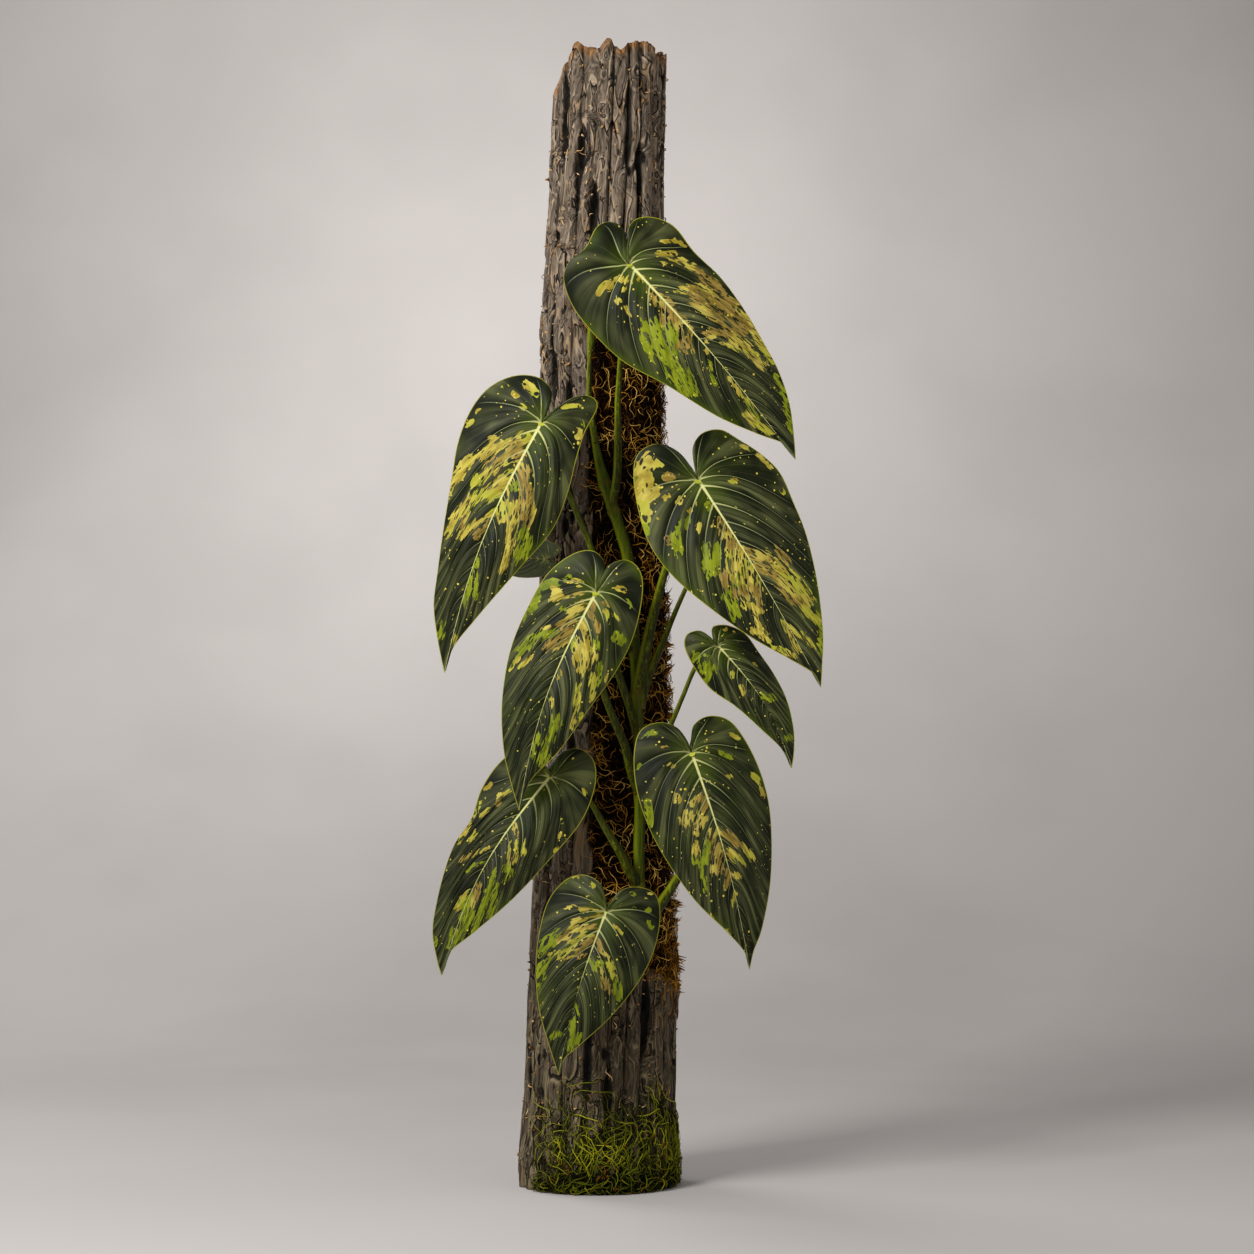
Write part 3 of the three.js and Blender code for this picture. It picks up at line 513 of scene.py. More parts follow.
# Curled strands over the totem's ground. Each one is given its place, heading, length, curl and arch in mm.
def curledPaths(angle, height, ground, heading, length, curl, arch, wave, low=3, places=8):
    share = np.linspace(-0.5, 0.5, places)[None, :]
    turn = heading[:, None] + curl[:, None] * share + 0.5 * np.sin(share * 9 + wave[:, None])
    stride = length[:, None] / (places - 1)
    dx = np.cumsum(np.cos(turn), axis=1) * stride
    dz = np.cumsum(np.sin(turn), axis=1) * stride
    dx -= dx.mean(axis=1, keepdims=True)
    dz -= dz.mean(axis=1, keepdims=True)
    rise = arch[:, None] * np.cos(share * math.pi) + 0.6 * np.sin(share * 11 + 2 * wave[:, None]) - 0.5
    h = np.maximum(height[:, None] + dz, low)
    return roundTheTotem(angle[:, None] + dx / usualRadius, h, ground(h) + rise)


def overBark(lift):
    return lambda height: along(totem["radii"], height) + lift


# Coir: a rough pad in the channel, closed at its back, under thousands of curled fibres

coir = {
    "around": 96, "up": 250, "backing": 5, "rough": 1.76, "lumpRadius": usualRadius,
    "lumps": [(7, 8, 4, 1), (2.6, 3, 9, 0.8)],
    "below": 1.2,           # mm from the bark's usual face down to the coir's, and on to the pad's own
    "padBelow": 1.6,
    "inset": 0.012,         # radians from the channel's borders to the pad
    "fibres": {"count": 3000, "length": (11, 36), "curl": 2.2, "arch": (0.6, 5.4), "under": 0.6},
    "strays": {"count": 480, "length": (7, 19), "curl": 2, "arch": (0.8, 3), "scatter": 2.5},
    "drapes": {"count": 150, "length": (18, 56), "curl": 0.7, "arch": (0.6, 2.6), "foot": (-22, 40)},
    "radius": (0.17, 0.34), "taper": [0.5, 0.85, 1, 1, 1, 0.95, 0.8, 0.35],
}


def coirGround(height):
    return along(totem["radii"], height) - coir["below"]


def coirPad():
    pad, across, up = padBlank("coirMat", coir)
    height = mix(channelFoot(mix(channel["start"], channel["end"], across)) + 1, channel["head"] - 1, up)
    angle = mix(edgeAngle(0, height) + coir["inset"], edgeAngle(channel["lastRidge"], height) - coir["inset"], across)
    hillocks = lumpsAt(angle, height, coir)
    rim = np.minimum(np.minimum(across, 1 - across) * 14, np.minimum(up, 1 - up) * 60)
    radius = coirGround(height) - coir["padBelow"] + coir["rough"] * hillocks * np.clip(rim, 0, 1)
    return finishPad(pad, angle, height, radius, hillocks, coir["backing"])


def coirFibres():
    rng = np.random.default_rng(5)
    look = coir["fibres"]
    n = look["count"]
    share = rng.uniform(0.015, 0.985, n)
    angle = mix(channel["start"], channel["end"], share)
    height = mix(channelFoot(angle) + 4, channel["head"] - 5, rng.uniform(0, 1, n))
    length = rng.uniform(*look["length"], n) * rng.uniform(0.5, 1, n)
    length = np.minimum(length, 10 + np.minimum(share, 1 - share) * 120)    # short ones near the borders
    lift = rng.uniform(0, 1, n)             # the ones that lie deep get painted shade
    paths = curledPaths(angle, height, lambda h: coirGround(h) - look["under"], heading=rng.uniform(0, fullTurn, n),
                        length=length, curl=rng.normal(0, look["curl"], n), arch=mix(*look["arch"], lift),
                        wave=rng.uniform(0, 6, n))

    # Strays that lie across the channel's borders, on the bark; side counts left, right, head and foot
    look = coir["strays"]
    m = look["count"]
    side, part = np.divmod(rng.uniform(0, 4, m), 1)
    strayShare = np.select([side == 0, side == 1], [np.zeros(m), np.ones(m)], part) + rng.normal(0, 0.02, m)
    strayAngle = mix(channel["start"], channel["end"], strayShare)
    foot, head = channelFoot(strayAngle), np.full(m, float(channel["head"]))
    strayHeight = np.select([side <= 1, side == 2], [mix(foot, head, part), head], foot)
    strays = curledPaths(strayAngle, strayHeight + rng.normal(0, look["scatter"], m), overBark(0.4),
                         heading=rng.uniform(0, fullTurn, m), length=rng.uniform(*look["length"], m),
                         curl=rng.normal(0, look["curl"], m), arch=rng.uniform(*look["arch"], m),
                         wave=rng.uniform(0, 6, m))

    # Long ones that hang over the bark at the channel's foot, most of them at the right
    look = coir["drapes"]
    k = look["count"]
    drapeAngle = mix(channel["start"], channel["end"], 1.06 - rng.beta(1, 2.2, k) * 0.8)
    drapes = curledPaths(drapeAngle, channelFoot(drapeAngle) + rng.uniform(*look["foot"], k), overBark(0.5),
                         heading=rng.normal(-math.pi / 2, 0.28, k), length=rng.uniform(*look["length"], k),
                         curl=rng.normal(0, look["curl"], k), arch=rng.uniform(*look["arch"], k),
                         wave=rng.uniform(0, 6, k))
    thick = rng.uniform(*coir["radius"], n + m + k)
    edgeOn = smooth((angle - math.radians(-28)) / math.radians(36))     # the far side gets painted shade
    # Tones with painted shade: fibres that lie deep and those towards the far side are darker, and the strays on the
    # right border too
    toneAndShade = np.concatenate([1.05 * lift ** 1.9 * (1 - 0.5 * edgeOn),
                           rng.uniform(0.1, 0.7, m) * np.where(side == 1, 0.6, 1), rng.uniform(0.05, 0.5, k)])
    return strandPiece("coirFibres", np.concatenate([paths, strays, drapes]), thick, coir["taper"],
                       np.clip(toneAndShade + rng.normal(0.02, 0.1, n + m + k), 0, 1))


# Ragged tufts that stand out at the right edge, where they show against the light. The strands of a tuft lean
# together to a point.

tufts = {
    "strands": 20, "reach": (3.6, 7), "radius": (0.4, 0.8), "taper": [1.1, 1.1, 1, 0.85, 0.6, 0.2],
    "lowBelow": 260, "highAbove": 500,      # mm; the tufts are longer below the first and shorter above the second
    # Height in mm and degrees round from the right
    "at": [[142, 0], [158, 5], [171, -3], [187, 1], [203, 6], [219, -2], [236, 3], [331, 0], [349, 5], [366, -2],
           [384, 4], [401, 0], [421, 5], [438, -3], [457, 2], [478, 5], [566, 2], [604, -2], [641, 3], [150, 12],
           [178, 14], [212, 15], [345, 13], [372, 14], [408, 12], [446, 14]],
}


def coirTufts():
    rng = np.random.default_rng(11)
    count = len(tufts["at"])
    own = np.repeat(np.arange(count), tufts["strands"])
    middle, turned = np.array(tufts["at"])[own].T
    n = len(own)
    reach = rng.uniform(*tufts["reach"], count)[own] * np.where(middle > tufts["highAbove"], 0.5, 1)
    reach = reach * np.where(middle < tufts["lowBelow"], 1.25, 1)
    lean = rng.normal(0.5, 3.2, count)[own]
    loose = rng.uniform(0, 1, n) ** 3
    start = rng.normal(0, 3.4, n)
    reach = reach * (1 - 0.75 * np.abs(start) / 8) * (1 + 0.5 * loose)
    share = np.linspace(0, 1, len(tufts["taper"]))[None, :]
    gathered = (start[:, None] * (1 - share * (1 - loose[:, None])) + lean[:, None] * share ** 1.5
                + rng.normal(0, 0.5 + 2.5 * loose, n)[:, None] * share ** 2)
    angle = np.radians(turned + rng.normal(0, 3.2, n))[:, None] + rng.normal(0, 0.03, n)[:, None] * share
    height = np.maximum(middle[:, None] + gathered, channelFoot(angle) + 2)
    radius = coirGround(height) - 3 + (reach[:, None] + 3) * share
    return strandPiece("coirTufts", roundTheTotem(angle, height, radius), rng.uniform(*tufts["radius"], n),
                       tufts["taper"], rng.uniform(0.05, 0.75, n))


# Moss: a low cushion coloured in painted shade, dense curls over it, and long loose strands above

moss = {
    "start": math.radians(-140), "end": math.radians(128), "height": 24,
    "around": 260, "up": 22, "backing": 3, "lumpRadius": 59,
    "lumps": [(6, 5, 2, 1), (2.2, 2.2, 7, 0.7)],
    "curls": {"count": 1000, "length": (9, 24), "curl": 2.6},
    "climbers": {"count": 1500, "bunches": 36, "length": (18, 46), "curl": 2.0, "tallest": 74},
    "radius": (0.22, 0.46), "taper": [0.7, 0.95, 1, 1, 0.9, 0.8, 0.6, 0.35],
}
mossTop = wandering(401)


def mossReach(angle):
    turned = (angle + math.pi) % fullTurn - math.pi
    ends = smooth((turned - moss["start"]) / 0.5) * smooth((moss["end"] - turned) / 0.5)
    return (moss["height"] + 10 * mossTop(turned * 3)) * (0.35 + 0.65 * ends)


def mossCushion():
    pad, across, up = padBlank("mossCushion", moss)
    angle = mix(moss["start"], moss["end"], across)
    height = 1.5 + up * (mossReach(angle) * 0.92 - 1.5)
    lumps = lumpsAt(angle, height, moss)
    swelling = 2.6 * (1 - up ** 2) * smooth(np.minimum(across, 1 - across) * 20)
    return finishPad(pad, angle, height, overBark(0.6)(height) + swelling + lumps, lumps, moss["backing"])


def mossStrands():
    rng = np.random.default_rng(23)
    look = moss["curls"]
    n = look["count"]
    lift = rng.uniform(0, 1, n)             # the ones that lie deep get painted shade
    angle = rng.uniform(moss["start"] + 0.03, moss["end"] - 0.03, n)
    height = 3 + rng.uniform(0, 1, n) ** 1.4 * mossReach(angle) * 1.25
    curls = curledPaths(angle, height, lambda h: overBark(2.2 * (1 - np.clip(h / 34, 0, 1) ** 2))(h),
                        heading=rng.normal(math.pi / 2, 0.9, n), length=rng.uniform(*look["length"], n),
                        curl=rng.normal(0, look["curl"], n), arch=0.4 + 4.6 * lift, wave=rng.uniform(0, 6, n),
                        low=1.3)

    # Long strands that climb and arch; they gather in bunches, with bare bark between
    look = moss["climbers"]
    m, bunches = look["count"], look["bunches"]
    bunchShare = (np.arange(bunches) + rng.uniform(0, 1, bunches)) / bunches
    bunchAngle = mix(moss["start"] + 0.1, moss["end"] - 0.1, bunchShare)
    tall = rng.uniform(0.4, 1, bunches) * look["tallest"]
    own = rng.integers(0, bunches, m)
    climberAngle = np.clip(bunchAngle[own] + rng.normal(0, 0.11, m), moss["start"] + 0.05, moss["end"] - 0.05)
    length = rng.uniform(*look["length"], m)
    climberLift = rng.uniform(0, 1, m)
    climberHeight = 8 + length * 0.4 + rng.beta(1.0, 1.75, m) * tall[own]
    climbers = curledPaths(climberAngle, climberHeight, overBark(0.4), heading=math.pi / 2 + rng.normal(0, 0.55, m),
                           length=length, curl=rng.normal(0, look["curl"], m), arch=0.8 + 3.8 * climberLift,
                           wave=rng.uniform(0, 6, m))
    toneAndShade = np.concatenate([0.9 * lift, climberLift])
    return strandPiece("mossStrands", np.concatenate([curls, climbers]), rng.uniform(*moss["radius"], n + m),
                       moss["taper"], np.clip(0.02 + 0.9 * toneAndShade ** 2.6 + rng.normal(0, 0.1, n + m), 0, 1))


# Small chips and dry rootlets that lie on the bark

slivers = {
    "count": 1500, "chips": 0.7, "chipLength": (1.2, 4.5), "rootLength": (4, 13), "heights": (14, 872),
    "chipRadius": (0.35, 0.8), "rootRadius": (0.24, 0.6), "arch": (0.7, 3.4), "taper": [0.55, 1, 1, 0.9, 0.4],
    "brokenAbove": 820, "brokenDrop": 70,       # mm; none lie on the broken left side of the head
}


def barkSlivers():
    rng = np.random.default_rng(31)
    n = slivers["count"]
    angle = rng.uniform(0, fullTurn, n)
    height = rng.uniform(*slivers["heights"], n)
    onCoir = (channelShare(angle) < 1) & (height > channelFoot(angle) - 6) & (height < channel["head"] + 6)
    angle = np.where(onCoir, channel["end"] + 0.1 + rng.uniform(0, 1, n) * (fullTurn - 2.5), angle)
    leftHead = (np.cos(angle) < -0.55) & (height > slivers["brokenAbove"])
    height = np.where(leftHead, height - slivers["brokenDrop"], height)
    chip = rng.uniform(0, 1, n) < slivers["chips"]
    length = np.where(chip, rng.uniform(*slivers["chipLength"], n), rng.uniform(*slivers["rootLength"], n))
    least, more = slivers["arch"]
    paths = curledPaths(angle, height, overBark(0.3), heading=math.pi / 2 + rng.normal(0, 0.9, n), length=length,
                        curl=rng.normal(0, 0.9, n), arch=least + more * rng.uniform(0, 1, n) ** 2.5,
                        wave=rng.uniform(0, 6, n), low=2, places=len(slivers["taper"]))
    thick = np.where(chip, rng.uniform(*slivers["chipRadius"], n), rng.uniform(*slivers["rootRadius"], n))
    return strandPiece("barkSlivers", paths, thick, slivers["taper"], rng.beta(1.6, 1.4, n))


# Stem and petioles: round rods with joints, on the routes of the part's own drawing

stem = {
    "path": [[32, 176], [31, 215], [30, 260], [31, 300], [31, 335], [29, 372], [28, 400], [26, 430], [25, 463],
             [21, 490], [14, 514], [6, 538], [0, 560], [-4, 580]],
    "nodes": [200, 234, 305, 350, 383, 415, 462, 524, 545],
    "radius": 4.4, "proud": 2.6, "headStart": 545, "headLength": 34, "thinner": 0.38,
    "joint": 0.95, "jointReach": 4.5, "crease": 0.55, "creaseReach": 0.9, "darkReach": 2.4, "places": 201,
}

# Radii in mm at the node and at the blade; paths sideways, to the back and up
petioles = {
    "right": {"radii": [4.6, 2.8], "path": [[29, -46, 384], [33, -54, 404], [38, -60, 430], [44, -66, 455],
              [50, -72, 477], [60, -79, 508], [70, -87, 536], [74.4, -98, 545.7]]},
    "small_back": {"radii": [3.2, 1.7], "path": [[31, -46, 372], [37, -47, 394], [43, -50, 410], [49, -52, 424],
                   [55, -54, 439], [66, -56, 464], [77, -58, 486], [84, -63, 502], [86, -74, 508]]},
    "left": {"radii": [3, 2.3], "path": [[29, -46, 350], [24, -53, 370], [18, -59, 388], [13, -63, 404],
             [6, -67, 444], [-6, -72, 494], [-15, -76, 516], [-24, -79, 538], [-36, -84, 566], [-42, -91, 583],
             [-43.3, -101, 588.7]]},
    "small_left": {"radii": [2.3, 1.6], "path": [[26, -46, 415], [17, -55, 424], [8, -58, 434], [-4, -58, 448],
                   [-13, -57, 458], [-26, -57, 470], [-35, -59, 479], [-39, -65, 485], [-39.4, -72, 486]]},
    "middle": {"radii": [3.6, 2.5], "path": [[31, -46, 305], [24, -58, 325], [20, -64, 342], [11, -72, 364],
               [3, -80, 386], [-2, -88, 416], [-3, -95, 446], [-2.1, -108, 460.8]]},
    "small_right": {"radii": [2.8, 1.7], "path": [[32, -46, 307], [42, -50, 335], [55, -54, 361], [64, -56, 382],
                    [73, -57, 403], [81, -60, 415], [87, -65, 420], [89.9, -72, 420.3]]},
    "lower_left": {"radii": [3.9, 2.4], "path": [[30, -47, 234], [24, -57, 246], [17, -63, 260], [10, -67, 272],
                   [3, -69, 284], [-6, -69, 300], [-18, -69, 312], [-30, -73, 319], [-36, -80, 321],
                   [-37.4, -88, 320.8]]},
    "lower_right": {"radii": [4.2, 2.6], "path": [[32, -48, 201], [40, -54, 213], [47, -60, 223], [54, -65, 234],
                    [61, -69, 246], [69, -75, 266], [73, -80, 290], [73, -85, 318], [70.5, -90, 334],
                    [69.5, -98, 339.8]]},
    "bottom": {"radii": [4, 2.8], "path": [[32, -48, 192], [26, -61, 205], [17, -74, 214], [9, -86, 219],
               [5.3, -99, 220]]},
    "top": {"radii": [3.3, 2], "path": [[9, -50, 526], [13, -56, 547], [14, -60, 566], [14, -65, 591],
            [14, -69, 607], [15, -73, 622], [16, -78, 637], [19, -85, 670], [22, -90, 698], [22.7, -98, 708.3]]},
}
spear = {
    "path": [[-3, -51, 576], [-6, -54, 593], [-8, -57, 612], [-8, -59, 634], [-6, -60, 657], [-3, -61, 684],
             [-1, -61, 706], [0, -60, 727]],
    "radii": [2.7, 1.6], "swelling": 3.2, "leafStart": 0.42, "roll": 0.16, "turns": 2.2,
}


# How near the stem's next node is, seen from a height: 1 at the shifted node, falling off over the reach
def atNodes(height, shift, reach):
    return sum(np.exp(-((height - node - shift) / reach) ** 2) for node in stem["nodes"])


def stemPiece():
    path = [[x, -math.sqrt((coirGround(z) + stem["proud"]) ** 2 - (x - along(totem["centres"], z)) ** 2), z]
            for x, z in stem["path"]]
    line = curveThrough(path, stem["places"])

    def radiusAt(share, turn):
        height = np.interp(share, np.linspace(0, 1, stem["places"]), line[:, 2])
        joint = atNodes(height, 0, stem["jointReach"])
        crease = atNodes(height, 1.5, stem["creaseReach"])
        ribs = 0.12 * np.sin(turn * 7 + height / 19) + 0.1 * np.sin(turn * 3 - height / 31)
        taper = 1 - stem["thinner"] * smooth((height - stem["headStart"]) / stem["headLength"])
        return (stem["radius"] + stem["joint"] * joint - stem["crease"] * crease + ribs) * taper
    piece = rodPiece("climbingStem", path, radiusAt, sides=28, rings=260)
    keepValues(piece, "joint", atNodes(readPoints(piece)[:, 2] / mm, 0.5, stem["darkReach"]))
    return piece


# A petiole swells a little at the stem and at the blade, and is slightly oval and ribbed
def petiolePiece(name, path, radii):
    base, neck = radii

    def radiusAt(share, turn):
        foot = 0.5 * np.exp(-(share / 0.035) ** 2)
        head = 0.7 * smooth((share - 0.93) / 0.07)
        ribs = 0.07 * base * np.cos(turn * 2) * smooth(1 - share * 2) + 0.05 * np.sin(turn * 5 + share * 9)
        return mix(base, neck, smooth(share * 1.5)) + head + foot + ribs
    piece = rodPiece("stalk_" + name, path, radiusAt, sides=20, rings=90)
    share = keptValues(piece, "share")
    keepValues(piece, "joint", np.exp(-(share / 0.03) ** 2) + 0.8 * np.exp(-((share - 1) / 0.02) ** 2))
    return piece


# The rolled new leaf: a slim stalk that swells into a spiral roll with a pointed tip
def spearPiece():
    def radiusAt(share, turn):
        leaf = np.clip((share - spear["leafStart"]) / (1 - spear["leafStart"]), 0, 1)
        roll = spear["roll"] * np.sin(math.pi * leaf) * (((turn / fullTurn + share * spear["turns"]) % 1) - 0.5) * 4
        stalk = mix(*spear["radii"], smooth(share * 2.4)) * (1 - 0.85 * leaf)
        return stalk + spear["swelling"] * np.sin(math.pi * leaf) ** 0.8 + roll
    piece = rodPiece("rolledLeaf", spear["path"], radiusAt, sides=28, rings=150)
    keepValues(piece, "joint", np.exp(-((keptValues(piece, "share") - spear["leafStart"]) / 0.02) ** 2))
    return piece


# Blades: outlines sideways and up, seen from the front. bow bends the midrib sideways; tipOut and arch bring the
# tip and the middle forward; margin takes the edges back; roll turns the blade about its midrib. All but roll in mm.

leaves = {
    "bottom": {
        "attach": [5.3, -98, 220], "notch": [6, 223.5], "tip": [-30.6, 97.2], "bow": -3.6,
        "tipOut": 8, "arch": 6, "margin": 9, "roll": 0.1, "seed": 1,
        "left": [[4.2, 231], [0, 241.5], [-12, 247], [-26, 242.2], [-39, 225.5], [-46, 199], [-47.6, 173],
                 [-45.2, 147], [-38.4, 122]],
        "right": [[9.5, 227.5], [17, 236], [30, 238], [43, 231.5], [45.8, 213], [40, 187], [27.5, 164],
                  [8, 140.5], [-14, 120.7], [-26.5, 109]],
    },
    "lower_left": {
        "attach": [-37.4, -87, 320.8], "notch": [-38.4, 324.5], "tip": [-119.7, 170.1], "bow": -11,
        "tipOut": -6, "arch": 8, "margin": 8, "roll": 0.28, "seed": 2,
        "left": [[-42, 332], [-52, 341], [-64, 340.6], [-78.6, 328], [-90, 310], [-97, 289], [-110, 269],
                 [-118, 247], [-124, 222], [-126.5, 202], [-123, 181]],
        "right": [[-35.5, 331], [-26.7, 340.3], [-13, 341.3], [-3.5, 331], [-4, 311], [-14.4, 286.4],
                  [-36, 260.5], [-65, 229.5], [-93.8, 204.2], [-114, 187]],
    },
    "lower_right": {
        "attach": [69.5, -97, 339.8], "notch": [68.2, 343.3], "tip": [113.7, 175.5], "bow": 4.4,
        "tipOut": -5, "arch": 9, "margin": 9, "roll": -0.24, "seed": 3,
        "left": [[65.5, 349.5], [58, 358.5], [45, 362.2], [31.5, 356.5], [26.5, 341], [27.2, 318], [34, 292.5],
                 [48, 263.5], [72, 229], [95, 206], [110, 188.7]],
        "right": [[70, 351], [72, 360.5], [82, 366.8], [96, 364.8], [107, 354], [119, 332], [127.5, 305],
                  [130.2, 276], [129, 240], [123, 207], [116.5, 189]],
    },
    "middle": {
        "attach": [-2.1, -107, 460.8], "notch": [-0.8, 464.5], "tip": [-60.1, 296.5], "bow": -9,
        "tipOut": 5, "arch": 7, "margin": 8, "roll": 0.14, "seed": 4,
        "left": [[1.2, 473], [3.6, 483], [-5, 491.8], [-20, 489.3], [-39, 474.5], [-53, 450.5], [-64.5, 424],
                 [-70.5, 398.5], [-73.2, 370], [-71.3, 340], [-65.4, 315]],
        "right": [[2.5, 473], [9, 481.5], [21.5, 484.6], [31, 476], [32.5, 458], [26, 428.5], [13, 402],
                  [-8.7, 371.5], [-30, 341.5], [-52, 318.6]],
    },
    "small_right": {
        "attach": [89.9, -71, 420.3], "notch": [87.9, 422.6], "tip": [146.3, 327.1], "bow": 7.5,
        "tipOut": 4, "arch": 4, "margin": 5, "roll": -0.3, "seed": 5,
        "left": [[83.1, 427.4], [75.5, 431.4], [66.4, 428.4], [65, 418.9], [72.4, 403.7], [85.3, 387],
                 [103.8, 373.9], [124, 355.9], [138.8, 342]],
        "right": [[86.4, 428.2], [87.1, 434.8], [97.8, 435.6], [111.3, 428.9], [121.3, 415.2], [132.7, 398.5],
                  [142.7, 378.6], [147.6, 357.3], [147.9, 339.6]],
    },
    "small_left": {
        "attach": [-39.4, -71, 486], "notch": [-37.8, 486], "tip": [-96, 489], "bow": 0,
        "tipOut": -5, "arch": 2, "margin": 4, "roll": 0.15, "seed": 6,
        "left": [[-33, 489], [-30, 494.5], [-36, 499], [-50, 500], [-68, 497.5], [-85, 492.5]],
        "right": [[-33, 482.5], [-30.5, 478], [-38, 474.5], [-52, 472.5], [-66, 473.5], [-84, 481]],
    },
    "right": {
        "attach": [74.4, -97, 545.7], "notch": [72.6, 550], "tip": [167, 389.1], "bow": 2.5,
        "tipOut": 7, "arch": 9, "margin": 10, "roll": -0.26, "seed": 7,
        "left": [[67, 557.5], [56, 568.5], [42, 572.4], [29, 564.5], [26, 548], [30, 521], [39, 495], [56, 472],
                 [83, 449], [114.5, 426.6], [143, 410.5], [162, 399]],
        "right": [[72.7, 558], [71, 571], [78, 581.3], [92, 584], [106, 576.5], [122, 566.4], [137, 551.5],
                  [147, 529], [157, 503], [164.5, 469], [168.5, 431], [168, 405]],
    },
    "small_back": {
        "attach": [86, -73, 508], "notch": [84.8, 509.6], "tip": [140, 434], "bow": 0,
        "tipOut": -10, "arch": 2, "margin": 4, "roll": -0.15, "seed": 8,
        "left": [[80.1, 512.7], [70.8, 515.2], [66.7, 508.8], [72.5, 492.5], [86, 473.9], [108, 455.7],
                 [128.8, 442.4]],
        "right": [[83.3, 515.1], [83.8, 524.6], [91.1, 526.6], [104.9, 516.1], [118.4, 497.5], [129, 471.1],
                  [135.2, 447.2]],
    },
    "left": {
        "attach": [-43.3, -100, 588.7], "notch": [-41.4, 591], "tip": [-116.8, 400], "bow": -9,
        "tipOut": -4, "arch": 9, "margin": 9, "roll": 0.26, "seed": 9,
        "left": [[-38.5, 600], [-36.5, 613], [-46, 623], [-64, 624.7], [-83, 616.5], [-97, 600], [-107, 574.5],
                 [-111.8, 545], [-117, 512], [-122, 475], [-124.8, 450], [-121.5, 423]],
        "right": [[-35, 596.5], [-22, 606], [-8, 608.7], [-1.3, 601], [-11, 581], [-17.5, 560], [-24, 535],
                  [-36, 507], [-62, 476.5], [-92, 441.5], [-110, 419]],
    },
    "top": {
        "attach": [22.7, -97, 708.3], "notch": [22.1, 712.3], "tip": [148.6, 561.4], "bow": 3,
        "tipOut": -9, "arch": 10, "margin": 10, "roll": -0.18, "seed": 10,
        "left": [[20.2, 722], [13, 739], [-1, 737.5], [-10.5, 720], [-23, 709], [-26.5, 694], [-15, 669],
                 [16, 636.5], [50, 617], [87.5, 594], [118, 581], [142, 572]],
        "right": [[20.9, 729], [26, 742], [40, 745.2], [57, 738], [72, 718.5], [92, 699], [109, 675.5],
                  [123.5, 650.5], [136, 627], [144, 602.5], [147.5, 576]],
    },
}


